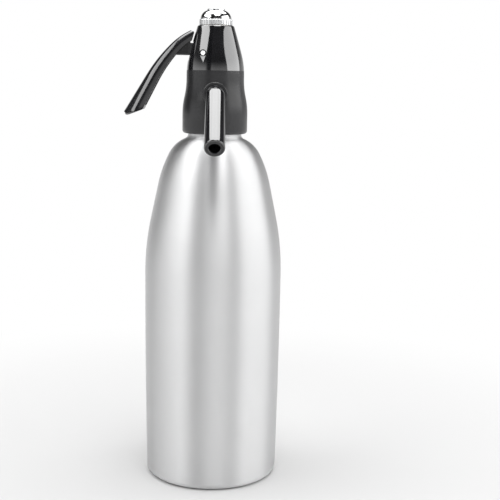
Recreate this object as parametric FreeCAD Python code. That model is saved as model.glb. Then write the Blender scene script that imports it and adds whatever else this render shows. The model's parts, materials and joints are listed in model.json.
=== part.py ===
"""A soda siphon in millimetres: an aluminium bottle with a screwed-on dispensing head.

The origin is on the bottle's axis in the plane it stands on, with +Z up.
The spout leaves the head towards -Y and the lever towards -X.
Each function returns the solid of one piece, at rest, where it sits in the siphon.
"""
import FreeCAD
import Part
import math
import os
from FreeCAD import Vector

# ---------------------------------------------------------------- driving sizes

# Bottle
base_radius = 43.8
belly_radius = 45.1
bottle_wall = 1.4
base_corner = 4.5
standing_width = 3.0
standing_rounding = 3.0
punt_height = 9.0
shoulder_top = 227.5
belly_bend = 175.0
cone_lean = 11.9
crown_bend = 79.0
crown_lean = 27.4
neck_bend = 20.4
neck_lean = 67.8
neck_fillet = 2.6

# Bottle neck and its thread
neck_radius = 15.8
mouth_radius = 13.5
neck_length = 12.6
neck_thread_depth = 1.2
neck_pitch = 4.0
collar_step = 0.4
collar_rise = 1.1
rim_land = 1.0

# Fits
thread_clearance = 0.4
part_clearance = 0.1
swing_clearance = 0.4
cut_overrun = 2.0
touching = 1e-6
pin_clearance = 0.05
cap_clearance = 0.3

# Seals and valve body
gasket_height = 1.8
skirt_wall = 1.5
skirt_gap = 0.8
deck_height = 4.0
floor_height = 3.0
tube_radius = 4.0
tube_wall = 1.2
tube_foot = 12.0
socket_wall = 2.0
socket_depth = 8.0
seal_section = 0.6
passage_radius = 2.6
chamber_radius = 5.4
chamber_wall = 3.1
chamber_height = 27.0
seat_height = 3.0
seat_hole = 2.3
seat_lip = 0.6

# Valve stem and what it carries
stem_radius = 1.5
stem_end = 0.7
washer_radius = 3.6
washer_height = 3.6
washer_cup = 2.0
flange_radius = 4.6
flange_height = 1.4
gland_depth = 6.0
gland_head_radius = 6.4
gland_head_height = 2.2
gland_head_turn = 30.0
nut_radius = 3.6
nut_height = 2.5
nut_play = 0.4
spring_radius = 3.9
spring_wire = 0.45
spring_coils = 5.0

# Lever
pivot_offset = 8.0
pin_radius = 1.45
hub_radius = 3.4
prong_width = 2.6
prong_tip = 2.8
lever_swing = 18.0
arm_width = 7.4
arm_drop = 1.2
arm_rise = 6.4
arm_shoulder = 4.8
heel_offset = 6.2
heel_rise = 15.3
heel_lean = 22.0
heel_bend = 44.0
heel_turn = 22.0
palm_bend = 102.0
palm_turn = 14.5
palm_straight = 31.9
heel_width = 10.0
palm_width = 22.0
crown_drop = 6.5
heel_depth = 5.6
heel_gap = 1.3
palm_depth = 10.8
lever_wall = 2.0
palm_corner = 8.0
end_lean = 52.7
tip_rounding = 1.2
blade_stations = 7

# Ears that carry the lever's pin
ear_width = 2.6
ear_radius = 3.6
ear_foot = 10.0

# Head casing
casing_wall = 2.1
casing_drop = 0.9
hem_rounding = 2.0
hem_height = 10.6
waist_inset = 2.5
waist_blend = 22.0
waist_length = 3.0
cheek_bend = 50.0
cheek_lean = 15.0
crown_radius = 11.9
crown_rounding = 0.8
casing_plate = 3.0
recess_radius = 2.1
recess_depth = 0.6
slot_over_arm = 0.9
slot_under_arm = 3.6

# Spout
spout_radius = 6.4
spout_bore = 3.6
spout_rise = 6.5
spout_straight = 14.0
spout_bend = 22.0
spout_lean = 36.0
spout_run = 45.9
spout_lip = 0.9
shank_radius = 5.0
shank_length = 6.0
boss_wall = 2.0
collar_wall = 1.6
collar_proud = 1.5
collar_rounding = 1.0

# Charging inlet on top of the head
duct_offset = 8.6
duct_radius = 0.9
duct_wall = 1.0
column_width = 6.4
barb_radius = 1.6
barb_length = 3.0
sleeve_wall = 0.8
sleeve_floor = 1.0
platform_height = 4.0
washer_rim = 8.0
inlet_washer = 1.3
inlet_shank = 5.9
inlet_stem = 4.9
inlet_flange = 8.8
inlet_flange_height = 1.3
inlet_radius = 6.4
inlet_thread_depth = 0.8
inlet_pitch = 2.0
inlet_length = 5.5
inlet_bore = 4.2
inlet_floor = 1.0
charger_seal_height = 1.5
charger_seal_hole = 2.0
piercer_radius = 1.2
piercer_bore = 0.4
piercer_rise = 4.2
piercer_depth = 3.6
piercer_taper = 2.4
piercer_land = 0.1

# Cap over the charging inlet
cap_radius = 10.65
cap_flutes = 36
cap_flute_depth = 0.45
cap_flute_share = 0.4
cap_flute_height = 3.4
cap_mouth = 1.6
dome_step = 0.65
dome_rise = 5.8
disc_radius = 5.6
disc_rise = 0.9
disc_rounding = 0.5
cap_seal_height = 1.2

# Shape of the threads, as shares of their pitch
thread_root = 0.5
thread_tip = 0.28

# ---------------------------------------------------------------- sizes that follow

# Heights up the neck and the valve body
collar_top = shoulder_top + collar_rise
rim = collar_top + neck_length
deck_bottom = rim + gasket_height
deck_top = deck_bottom + deck_height
chamber_floor = deck_bottom + floor_height
chamber_top = deck_top + chamber_height
spout_height = deck_top + spout_rise

# Radii from the neck out to the casing
thread_crest = neck_radius + neck_thread_depth
collar_radius = thread_crest + collar_step
skirt_bore = thread_crest + thread_clearance
skirt_radius = skirt_bore + skirt_wall
skirt_bottom = collar_top + skirt_gap
socket_foot = deck_bottom - socket_depth
casing_bore = skirt_radius + part_clearance
casing_radius = casing_bore + casing_wall
casing_bottom = shoulder_top + casing_drop
waist_radius = casing_radius - waist_inset
neck_thread_start = skirt_bottom + neck_pitch * thread_root
neck_turns = (rim - rim_land - neck_pitch * thread_root / 2 - neck_thread_start) / neck_pitch

# Heights up the valve stem
seat_top = chamber_floor + seat_height
washer_top = seat_top + washer_height
flange_top = washer_top + flange_height
gland_bottom = chamber_top - gland_depth
pivot_height = chamber_top + gland_head_height + swing_clearance + prong_tip
nut_bottom = pivot_height + prong_tip + nut_play
stem_top = nut_bottom + nut_height + stem_end
stem_lift = pivot_offset * math.radians(lever_swing)
gland_middle = gland_bottom + gland_depth / 2

# The lever across its fork
prong_inside = stem_radius + swing_clearance
hub_half_width = prong_inside + prong_width
ear_inside = hub_half_width + swing_clearance

# Heights up the charging inlet and the cap
platform_bottom = stem_top + stem_lift + swing_clearance
platform_top = platform_bottom + platform_height
duct_height = platform_bottom + platform_height / 2
plate_bottom = platform_top + inlet_washer
casing_top = plate_bottom + casing_plate
inlet_flange_top = casing_top + inlet_flange_height
inlet_top = inlet_flange_top + inlet_length
inlet_crest = inlet_radius + inlet_thread_depth
cap_bottom = casing_top + cap_clearance
cap_bore = inlet_crest + thread_clearance
cap_ceiling = inlet_top + cap_seal_height
dome_bottom = cap_bottom + cap_flute_height
charger_floor = casing_top + inlet_floor
inlet_thread_start = inlet_flange_top + cap_clearance + inlet_pitch * thread_root
inlet_turns = (inlet_top - rim_land - inlet_pitch * thread_root / 2 - inlet_thread_start) / inlet_pitch

# ---------------------------------------------------------------- turned outlines

class Outline:
    """A smooth run of lines and arcs beside the Z axis, drawn from the inside of the base upwards.

    The lean is the angle from +Z towards the axis, in degrees. Each bend is tangent to what is before it.
    """

    def __init__(self, radius, height, lean):
        self.start = (radius, height, lean)
        self.radius = radius
        self.height = height
        self.lean = lean
        self.steps = []

    def straight(self, length):
        """Go on for a length."""
        self.steps.append((0.0, length))
        self.radius, self.height, self.lean = self._after(self.radius, self.height, self.lean, 0.0, length)
        return self

    def bend(self, bend_radius, turn):
        """Turn towards the axis, or away from it if the turn is negative."""
        self.steps.append((bend_radius, turn))
        self.radius, self.height, self.lean = self._after(
            self.radius, self.height, self.lean, bend_radius, turn)
        return self

    def meet(self, radius, height):
        """Go to a point on one tangent arc."""
        across = self.radius - radius
        up = height - self.height
        chord = math.hypot(across, up)
        half = math.degrees(math.atan2(across, up)) - self.lean
        return self.bend(chord / (2 * abs(math.sin(math.radians(half)))), 2 * half)

    def edges(self, inset=0.0):
        """The run as edges in the XZ plane, moved inwards by an inset."""
        radius, height, lean = self.start
        tilt = math.radians(lean)
        radius -= inset * math.cos(tilt)
        height -= inset * math.sin(tilt)
        run = []
        for bend_radius, amount in self.steps:
            if bend_radius == 0.0:
                after = self._after(radius, height, lean, 0.0, amount)
                run.append(Part.LineSegment(point(radius, height), point(after[0], after[1])).toShape())
            else:
                bend_radius -= inset * math.copysign(1.0, amount)
                middle = self._after(radius, height, lean, bend_radius, amount / 2)
                after = self._after(radius, height, lean, bend_radius, amount)
                run.append(Part.Arc(
                    point(radius, height), point(middle[0], middle[1]), point(after[0], after[1])).toShape())
            radius, height, lean = after
        return run

    def at(self, distance):
        """The radius, height and lean at a distance along the run."""
        radius, height, lean = self.start
        for bend_radius, amount in self.steps:
            length = amount if bend_radius == 0.0 else bend_radius * math.radians(abs(amount))
            share = min(distance / length, 1.0)
            radius, height, lean = self._after(radius, height, lean, bend_radius, amount * share)
            distance -= length * share
        return radius, height, lean

    def length(self):
        """The length of the whole run."""
        return sum(amount if bend_radius == 0.0 else bend_radius * math.radians(abs(amount))
                   for bend_radius, amount in self.steps)

    @staticmethod
    def _after(radius, height, lean, bend_radius, amount):
        tilt = math.radians(lean)
        if bend_radius == 0.0:
            return radius - amount * math.sin(tilt), height + amount * math.cos(tilt), lean
        side = math.copysign(bend_radius, amount)
        new_tilt = math.radians(lean + amount)
        return (radius - side * (math.cos(tilt) - math.cos(new_tilt)),
                height + side * (math.sin(new_tilt) - math.sin(tilt)),
                lean + amount)


def point(radius, height):
    """A point in the XZ plane."""
    return Vector(radius, 0, height)


def profile(run, corners=()):
    """The face inside a run of edges, closed by straight lines through the corners."""
    edges = list(run)
    stops = [edges[-1].lastVertex(True).Point] if edges else []
    stops += [point(*corner) for corner in corners]
    stops.append(edges[0].firstVertex(True).Point if edges else stops[0])
    for here, there in zip(stops, stops[1:]):
        if here.distanceToPoint(there) > touching:
            edges.append(Part.LineSegment(here, there).toShape())
    return Part.Face(Part.Wire(Part.sortEdges(edges)[0]))


def turned(run, corners=()):
    """The solid turned about Z from a run of edges, closed by straight lines through the corners."""
    return profile(run, corners).revolve(Vector(0, 0, 0), Vector(0, 0, 1), 360)


def rod(radius, bottom, top, x=0.0):
    """An upright cylinder."""
    return Part.makeCylinder(radius, top - bottom, Vector(x, 0, bottom))


def ring(inner, outer, bottom, top, x=0.0):
    """An upright tube."""
    return rod(outer, bottom, top, x).cut(rod(inner, bottom, top, x))


def cross_rod(radius, x, z, half_length):
    """A cylinder along Y, centred on the XZ plane."""
    return Part.makeCylinder(radius, 2 * half_length, Vector(x, -half_length, z), Vector(0, 1, 0))


def front_rod(radius, near, far):
    """A cylinder along the spout's shank, between two distances in front of the bottle's axis."""
    return Part.makeCylinder(radius, far - near, Vector(0, -near, spout_height), Vector(0, -1, 0))


def block(low, high):
    """A box between two corners."""
    size = [b - a for a, b in zip(low, high)]
    return Part.makeBox(size[0], size[1], size[2], Vector(*low))


def o_ring(radius, section, height):
    """A ring of round section about Z."""
    return Part.makeTorus(radius, section, Vector(0, 0, height))


def hexagon(radius, bottom, top):
    """An upright hexagonal prism, given the radius of its corners."""
    corners = [Vector(radius * math.cos(math.radians(a)), radius * math.sin(math.radians(a)), bottom)
               for a in range(0, 361, 60)]
    return Part.Face(Part.makePolygon(corners)).extrude(Vector(0, 0, top - bottom))


def thread(root, tip, pitch, turns, start, turned_by=0.0):
    """A helical ridge from a root radius to a tip radius, with its middle at the start height."""
    root_half = pitch * thread_root / 2
    tip_half = pitch * thread_tip / 2
    corners = [point(root, -root_half), point(tip, -tip_half), point(tip, tip_half), point(root, root_half)]
    section = Part.makePolygon(corners + corners[:1])
    helix = Part.makeHelix(pitch, pitch * turns, (root + tip) / 2)
    ridge = Part.Wire(helix.Edges).makePipeShell([section], True, True)
    ridge.rotate(Vector(0, 0, 0), Vector(0, 0, 1), turned_by)
    ridge.translate(Vector(0, 0, start))
    return ridge


# ---------------------------------------------------------------- bottle

def bottle_outline():
    """The outside of the bottle, from the middle of its base to the top of its shoulder."""
    standing_radius = base_radius - base_corner - standing_width
    slope = 2 * math.degrees(math.atan2(punt_height, standing_radius))
    punt_radius = standing_radius / math.sin(math.radians(slope)) - standing_rounding
    cone = math.radians(cone_lean)
    crown = math.radians(crown_lean)
    neck = math.radians(neck_lean)
    bends_in = (belly_bend * (1 - math.cos(cone)) + crown_bend * (math.cos(cone) - math.cos(crown))
                + neck_bend * (math.cos(crown) - math.cos(neck)) + neck_fillet * (1 - math.cos(neck)))
    bends_up = (belly_bend * math.sin(cone) + crown_bend * (math.sin(crown) - math.sin(cone))
                + neck_bend * (math.sin(neck) - math.sin(crown)) + neck_fillet * math.sin(neck))
    cone_length = (belly_radius - collar_radius - bends_in) / math.sin(cone)
    belly_height = shoulder_top - bends_up - cone_length * math.cos(cone)
    side_lean = -2 * math.degrees(math.atan2(belly_radius - base_radius, belly_height - base_corner))
    outline = Outline(0.0, punt_height, -90.0)
    outline.bend(punt_radius, -slope)
    outline.bend(standing_rounding, slope)
    outline.straight(standing_width)
    outline.bend(base_corner, 90.0 + side_lean)
    outline.meet(belly_radius, belly_height)
    outline.bend(belly_bend, cone_lean - outline.lean)
    outline.straight(cone_length)
    outline.bend(crown_bend, crown_lean - cone_lean)
    outline.bend(neck_bend, neck_lean - crown_lean)
    return outline


def bottle():
    """The aluminium bottle with its hollow base, threaded neck and mouth."""
    outside = bottle_outline().bend(neck_fillet, -neck_lean)
    body = turned(outside.edges(), [
        (collar_radius, collar_top - collar_step), (collar_radius - collar_step, collar_top),
        (neck_radius, collar_top), (neck_radius, rim - bottle_wall / 2),
        (neck_radius - bottle_wall / 2, rim), (0, rim)])
    inside = bottle_outline()
    inner_radius = inside.radius - bottle_wall * math.cos(math.radians(neck_lean))
    inside.straight((inner_radius - mouth_radius) / math.sin(math.radians(neck_lean)))
    over_rim = rim + cut_overrun
    hollow = turned(inside.edges(bottle_wall), [(mouth_radius, over_rim), (0, over_rim)])
    ridge = thread(neck_radius - thread_clearance, thread_crest, neck_pitch, neck_turns, neck_thread_start)
    return body.fuse(ridge).cut(hollow)


def head_gasket():
    """The flat ring that seals the head on the bottle's rim."""
    return ring(mouth_radius, neck_radius, rim, deck_bottom)


# ---------------------------------------------------------------- head casing

def waist_outline():
    """The outside of the casing from its hem up to its waist."""
    half_inset = waist_inset / 2
    half_blend = waist_blend / 2
    turn = 2 * math.degrees(math.atan2(half_inset, half_blend))
    blend_radius = half_blend / math.sin(math.radians(turn))
    outline = Outline(casing_radius - hem_rounding, casing_bottom, -90.0)
    outline.bend(hem_rounding, 90.0)
    outline.straight(hem_height)
    outline.bend(blend_radius, turn)
    outline.bend(blend_radius, -turn)
    return outline


def crown_outline():
    """The outside of the casing from its waist up to its flat top."""
    outline = Outline(waist_radius, waist_outline().height, 0.0)
    outline.straight(waist_length)
    outline.bend(cheek_bend, cheek_lean)
    outline.meet(crown_radius, casing_top - crown_rounding)
    return outline


def casing_form(inset=0.0):
    """The solid inside the casing's outer surface, or inside a surface that lies under it."""
    crown = crown_outline()
    lid = casing_top - inset
    if inset == 0.0:
        crown.bend(crown_rounding / (1 - math.sin(math.radians(crown.lean))), 90.0 - crown.lean)
    below = turned(waist_outline().edges(inset), [(0, crown.start[1]), (0, casing_bottom + inset)])
    above = turned(crown.edges(inset), [(0, lid), (0, crown.start[1])])
    return below.fuse(above)


def casing_hollow(clearance=0.0):
    """The space inside the casing, or a form that clears it all round."""
    wide = rod(casing_bore - clearance, skirt_bottom - neck_length, deck_top)
    waist = waist_radius - casing_wall - clearance
    narrow = rod(waist, deck_top - deck_height, crown_outline().start[1])
    crown = crown_outline()
    upper = turned(crown.edges(casing_wall + clearance), [(0, crown.height), (0, crown.start[1])])
    return wide.fuse(narrow).fuse(upper.common(rod(waist_radius, deck_top, plate_bottom)))


def head_casing():
    """The glossy shell of the head, with its spout collar, lever slot, pin holes and top hole."""
    front = waist_radius + collar_proud
    collar = front_rod(spout_radius + collar_wall, chamber_radius, front)
    collar = collar.makeFillet(
        collar_rounding, [edge for edge in collar.Edges if abs(edge.CenterOfMass.y + front) < touching])
    shell = casing_form().fuse(collar).cut(casing_hollow())
    shell = shell.cut(spout_form(spout_radius + part_clearance))
    slot_half = arm_width / 2 + swing_clearance
    shell = shell.cut(block((-casing_radius, -slot_half, pivot_height - arm_drop - slot_under_arm),
                            (-pivot_offset - hub_radius, slot_half, pivot_height + arm_rise + slot_over_arm)))
    shell = shell.cut(cross_rod(pin_radius + pin_clearance, -pivot_offset, pivot_height, casing_radius))
    recess = cross_rod(recess_radius, -pivot_offset, pivot_height, casing_radius)
    shell = shell.cut(recess.cut(casing_form(recess_depth)))
    return shell.cut(rod(inlet_shank + part_clearance, platform_top, casing_top + cut_overrun))


# ---------------------------------------------------------------- valve body

def valve_body():
    """The casting that screws on the bottle and holds the valve, the spout and the lever."""
    body = ring(skirt_bore, skirt_radius, skirt_bottom, deck_bottom)
    body = body.fuse(thread(skirt_bore + thread_clearance, neck_radius + thread_clearance,
                            neck_pitch, neck_turns, neck_thread_start, 180.0))
    body = body.fuse(rod(skirt_radius, deck_bottom, deck_top))
    body = body.fuse(rod(tube_radius + socket_wall, socket_foot, deck_bottom))
    body = body.fuse(rod(chamber_radius + chamber_wall, deck_top, chamber_top))
    body = body.fuse(front_rod(shank_radius + boss_wall, 0, spout_straight))
    body = body.fuse(ear_block()).fuse(inlet_column())
    body = body.fuse(rod(barb_radius, deck_bottom - barb_length, deck_bottom, duct_offset))
    body = body.common(casing_hollow(part_clearance))
    for hollow in valve_body_bores():
        body = body.cut(hollow)
    return body


def ear_block():
    """The block and the two ears that carry the lever's pin."""
    outside = ear_inside + ear_width
    ears = block((-pivot_offset - ear_radius, -outside, chamber_top - ear_foot), (0, outside, chamber_top))
    for side in (-1, 1):
        low = min(side * ear_inside, side * outside)
        plate = block((-pivot_offset - ear_radius, low, chamber_top),
                      (-pivot_offset + ear_radius, low + ear_width, pivot_height))
        top = Part.makeCylinder(
            ear_radius, ear_width, Vector(-pivot_offset, low, pivot_height), Vector(0, 1, 0))
        ears = ears.fuse(plate).fuse(top)
    return ears


def inlet_column():
    """The column with the gas duct, and the platform over the lever that takes the charging inlet."""
    half_depth = duct_radius + duct_wall
    column = block((duct_offset - half_depth, -column_width / 2, deck_top),
                   (duct_offset + half_depth, column_width / 2, platform_top))
    return column.fuse(rod(crown_radius, platform_bottom, platform_top))


def valve_body_bores():
    """The bores of the valve body: tube socket, passage, chamber, spout socket, pin, duct and inlet."""
    groove_middle = deck_bottom - socket_depth / 2
    yield rod(tube_radius + pin_clearance, socket_foot - cut_overrun, deck_bottom)
    yield rod(tube_radius + 2 * seal_section, groove_middle - seal_section, groove_middle + seal_section)
    yield rod(passage_radius, deck_bottom - cut_overrun, chamber_floor)
    yield rod(chamber_radius, chamber_floor, chamber_top + cut_overrun)
    yield front_rod(spout_bore, 0, spout_straight)
    yield front_rod(shank_radius, spout_straight - shank_length - 2 * seal_section,
                    spout_straight + cut_overrun)
    yield spout_form(spout_radius + part_clearance)
    yield cross_rod(pin_radius + pin_clearance, -pivot_offset, pivot_height, casing_radius)
    yield rod(duct_radius, deck_bottom - barb_length - cut_overrun, duct_height, duct_offset)
    yield Part.makeCylinder(duct_radius, duct_offset, Vector(0, 0, duct_height), Vector(1, 0, 0))
    yield rod(inlet_stem, duct_height - duct_radius - part_clearance, platform_top + cut_overrun)


def dip_tube():
    """The tube that draws the water up from near the base."""
    return ring(tube_radius - tube_wall, tube_radius, tube_foot, deck_bottom)


def dip_tube_seal():
    """The ring that seals the dip tube in its socket."""
    return o_ring(tube_radius + seal_section, seal_section, deck_bottom - socket_depth / 2)


def valve_seat():
    """The seat that the valve washer closes on."""
    outer = chamber_radius - part_clearance
    lip = seat_hole + seat_lip
    return turned([], [(seat_hole, chamber_floor), (outer, chamber_floor), (outer, seat_top - seat_lip),
                       (lip + seat_lip, seat_top - seat_lip), (lip, seat_top), (seat_hole, seat_top),
                       (seat_hole, chamber_floor)])


def gland_nut():
    """The nut that closes the valve chamber and guides the stem."""
    nut = rod(chamber_radius - part_clearance, gland_bottom, chamber_top)
    head = hexagon(gland_head_radius, chamber_top, chamber_top + gland_head_height)
    head.rotate(Vector(0, 0, 0), Vector(0, 0, 1), gland_head_turn)
    nut = nut.fuse(head).cut(rod(stem_radius + pin_clearance, gland_bottom, nut_bottom))
    groove = stem_radius + 2 * seal_section
    return nut.cut(rod(groove, gland_middle - seal_section, gland_middle + seal_section))


def stem_seal():
    """The ring in the gland nut that seals the stem."""
    return o_ring(stem_radius + pin_clearance + seal_section, seal_section - pin_clearance, gland_middle)


# ---------------------------------------------------------------- valve stem

def valve_stem():
    """The rod that the lever lifts, with the flange that the spring presses on."""
    foot = washer_top - washer_cup
    return rod(stem_radius, foot, stem_top).fuse(rod(flange_radius, washer_top, flange_top))


def valve_washer():
    """The rubber washer at the foot of the stem."""
    return rod(washer_radius, seat_top, washer_top).cut(rod(stem_radius, washer_top - washer_cup, washer_top))


def stem_nut():
    """The nut on top of the stem, over the lever's fork."""
    nut = hexagon(nut_radius, nut_bottom, nut_bottom + nut_height)
    return nut.cut(rod(stem_radius, nut_bottom, stem_top))


def valve_spring():
    """The coil spring that closes the valve."""
    length = gland_bottom - flange_top - 2 * spring_wire
    helix = Part.makeHelix(length / spring_coils, length, spring_radius)
    section = Part.Wire(Part.makeCircle(spring_wire, Vector(spring_radius, 0, 0), Vector(0, 1, 0)))
    spring = Part.Wire(helix.Edges).makePipeShell([section], True, True)
    spring.translate(Vector(0, 0, flange_top + spring_wire))
    return spring


# ---------------------------------------------------------------- lever

def palm_outline():
    """The crest of the lever from its heel to its end; the radius is the distance towards -X."""
    outline = Outline(pivot_offset + heel_offset, pivot_height + heel_rise, -90.0 - heel_lean)
    outline.bend(heel_bend, -heel_turn)
    outline.bend(palm_bend, -palm_turn)
    outline.straight(palm_straight)
    return outline


def palm_section(distance, inset, reach):
    """A closed wire across the blade, at a distance from the heel; the reach lowers its open side."""
    outline = palm_outline()
    radius, height, lean = outline.at(distance)
    share = distance / outline.length()
    half_width = (heel_width + (palm_width - heel_width) * share) / 2 - inset
    depth = heel_depth + (palm_depth - heel_depth) * share ** 2 + reach
    drop = crown_drop * (half_width / (palm_width / 2)) ** 2 + inset
    tilt = math.radians(lean)

    def place(across, down):
        return Vector(-(radius + down * math.cos(tilt)), across, height + down * math.sin(tilt))

    crest = Part.Arc(place(-half_width, drop), place(0, inset), place(half_width, drop)).toShape()
    sides = Part.makePolygon([place(half_width, drop), place(half_width, depth),
                              place(-half_width, depth), place(-half_width, drop)])
    return Part.Wire([crest] + sides.Edges)


def blade_form(inset, reach):
    """The blade as a full form, or the hollow under it."""
    length = palm_outline().length()
    step = (length - inset) / (blade_stations - 1)
    sections = [palm_section(inset + step * station, inset, reach) for station in range(blade_stations)]
    return Part.makeLoft(sections, True, False).common(palm_end(inset))


def palm_plan(inset):
    """A deep prism with the blade's end in plan, in the blade's own frame: X along, Y across, Z inwards."""
    half_width = palm_width / 2 - inset
    corner = palm_corner - inset
    flat = half_width - corner
    diagonal = corner * (1 - math.sqrt(0.5))
    back = -palm_outline().length() - palm_width
    run = Part.makePolygon([Vector(-inset, flat, 0), Vector(-inset, -flat, 0)]).Edges
    run.append(Part.Arc(Vector(-inset, -flat, 0), Vector(-inset - diagonal, diagonal - half_width, 0),
                        Vector(-inset - corner, -half_width, 0)).toShape())
    run += Part.makePolygon([Vector(-inset - corner, -half_width, 0), Vector(back, -half_width, 0),
                             Vector(back, half_width, 0), Vector(-inset - corner, half_width, 0)]).Edges
    run.append(Part.Arc(Vector(-inset - corner, half_width, 0),
                        Vector(-inset - diagonal, half_width - diagonal, 0),
                        Vector(-inset, flat, 0)).toShape())
    return Part.Face(Part.Wire(run)).extrude(Vector(0, 0, -back))


def palm_bevel(inset):
    """A wide prism with the bevelled and rounded tip in profile, in the blade's own frame."""
    bevel = math.radians(end_lean)
    back = -palm_outline().length() - palm_width
    tip = -inset / math.cos(bevel)
    tangent = tip_rounding / math.tan(math.radians(90.0 - end_lean) / 2)
    middle = (bevel - math.radians(90)) / 2
    start = Vector(tip - tangent, 0, 0)
    centre = start + Vector(0, 0, tip_rounding)
    end = centre + Vector(math.cos(bevel), 0, math.sin(bevel)) * tip_rounding
    through = centre + Vector(math.cos(middle), 0, math.sin(middle)) * tip_rounding
    depth = -back / math.tan(bevel)
    run = [Part.Arc(start, through, end).toShape()]
    run += Part.makePolygon([end, Vector(tip + back, 0, depth), Vector(back, 0, depth),
                             Vector(back, 0, 0), start]).Edges
    prism = Part.Face(Part.Wire(run)).extrude(Vector(0, 2 * palm_width, 0))
    prism.translate(Vector(0, -palm_width, 0))
    return prism


def palm_end(inset):
    """The form that the blade's end is clipped with, where the lever holds it."""
    outline = palm_outline()
    form = palm_plan(inset).common(palm_bevel(inset))
    form.rotate(Vector(0, 0, 0), Vector(0, 1, 0), 270.0 + outline.lean)
    form.translate(Vector(-outline.radius, 0, outline.height))
    return form


def fork():
    """The hub on the pin and the two prongs that reach round the valve stem."""
    hub = cross_rod(hub_radius, -pivot_offset, pivot_height, hub_half_width)
    tips = cross_rod(prong_tip, 0, pivot_height, hub_half_width)
    bar = block((-pivot_offset, -hub_half_width, pivot_height - prong_tip),
                (0, hub_half_width, pivot_height + prong_tip))
    throat = -stem_radius - 2 * swing_clearance
    opening = block((throat, -prong_inside, pivot_height - hub_radius),
                    (pivot_offset, prong_inside, pivot_height + hub_radius))
    return hub.fuse(bar).fuse(tips).cut(opening)


def lever_arm():
    """The web that joins the blade to the hub through the slot of the casing."""
    back = -pivot_offset - heel_offset - lever_wall
    bottom = pivot_height - arm_drop
    shoulder = -pivot_offset - arm_shoulder
    corners = [(-pivot_offset, pivot_height - hub_radius), (shoulder, bottom),
               (back - palm_straight, bottom), (back - palm_straight, pivot_height + heel_rise),
               (back, pivot_height + heel_rise), (back, pivot_height + arm_rise),
               (shoulder, pivot_height + arm_rise), (-pivot_offset, pivot_height + hub_radius)]
    side = Part.makePolygon([Vector(x, -arm_width / 2, z) for x, z in corners + corners[:1]])
    palm = palm_outline()
    crest = palm.edges(-lever_wall / 2)
    end = crest[-1].lastVertex(True).Point
    heel = crest[0].firstVertex(True).Point
    closing = Part.makePolygon([end, Vector(0, 0, end.z), Vector(0, 0, heel.z), heel]).Edges
    under_palm = Part.Face(Part.Wire(Part.sortEdges(crest + closing)[0]))
    under_palm.rotate(Vector(0, 0, 0), Vector(0, 0, 1), 180)
    under_palm.translate(Vector(0, -palm_width / 2, 0))
    web = Part.Face(side).extrude(Vector(0, arm_width, 0))
    return web.common(under_palm.extrude(Vector(0, palm_width, 0)))


def heel_space():
    """A wide prism over the casing's upper side, which the heel stays out of."""
    crown = crown_outline()
    face = profile(crown.edges(-heel_gap), [(0, crown.height), (0, crown.start[1])])
    face.rotate(Vector(0, 0, 0), Vector(0, 0, 1), 180)
    face.translate(Vector(0, -palm_width, 0))
    return face.extrude(Vector(0, 2 * palm_width, 0))


def lever():
    """The moulded lever: a hollow blade, an arm through the casing and a fork round the valve stem."""
    blade = blade_form(0.0, 0.0).cut(blade_form(lever_wall, palm_depth))
    body = blade.cut(heel_space()).fuse(lever_arm()).fuse(fork())
    return body.cut(cross_rod(pin_radius + pin_clearance, -pivot_offset, pivot_height, ear_inside))


def pivot_pin():
    """The pin through the casing, the ears and the lever."""
    pin = cross_rod(pin_radius, -pivot_offset, pivot_height, casing_radius)
    return pin.common(casing_form(recess_depth / 2))


# ---------------------------------------------------------------- spout

def spout_path():
    """The middle line of the spout, from the end of its shank to its mouth."""
    lean = math.radians(spout_lean)
    knee = Vector(0, -spout_straight, spout_height)
    middle = knee + Vector(0, -spout_bend * math.sin(lean / 2), -spout_bend * (1 - math.cos(lean / 2)))
    bent = knee + Vector(0, -spout_bend * math.sin(lean), -spout_bend * (1 - math.cos(lean)))
    mouth = bent + Vector(0, -spout_run * math.cos(lean), -spout_run * math.sin(lean))
    return knee, middle, bent, mouth


def spout_form(radius):
    """A round bar of a radius along the bend and the straight run of the spout."""
    knee, middle, bent, mouth = spout_path()
    path = Part.Wire([Part.Arc(knee, middle, bent).toShape(), Part.LineSegment(bent, mouth).toShape()])
    section = Part.Wire(Part.makeCircle(radius, knee, Vector(0, 1, 0)))
    return path.makePipeShell([section], True, False)


def spout():
    """The bent spout with its rounded lip and the shank that pushes into the valve body."""
    shank = front_rod(shank_radius - part_clearance, spout_straight - shank_length, spout_straight)
    tube = spout_form(spout_radius)
    mouth = spout_path()[3]
    rim_edges = [edge for edge in tube.Edges
                 if edge.CenterOfMass.distanceToPoint(mouth) < spout_lip
                 and edge.BoundBox.XLength > spout_radius]
    body = tube.makeFillet(spout_lip, rim_edges).fuse(shank)
    return body.cut(spout_form(spout_bore)).cut(front_rod(spout_bore, 0, spout_straight))


def spout_seal():
    """The flat ring at the bottom of the spout's socket."""
    front = spout_straight - shank_length
    disc = front_rod(shank_radius - part_clearance, front - 2 * seal_section, front)
    return disc.cut(front_rod(spout_bore, 0, spout_straight))


# ---------------------------------------------------------------- charging inlet

def check_valve():
    """The rubber cup over the end of the gas duct, which keeps the gas in the bottle."""
    bottom = deck_bottom - barb_length - sleeve_floor
    cup = rod(barb_radius + sleeve_wall, bottom, deck_bottom, duct_offset)
    return cup.cut(rod(barb_radius, bottom + sleeve_floor, deck_bottom, duct_offset))


def inlet_seal():
    """The washer between the valve body's platform and the casing's top."""
    return ring(inlet_shank, washer_rim, platform_top, plate_bottom)


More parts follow.
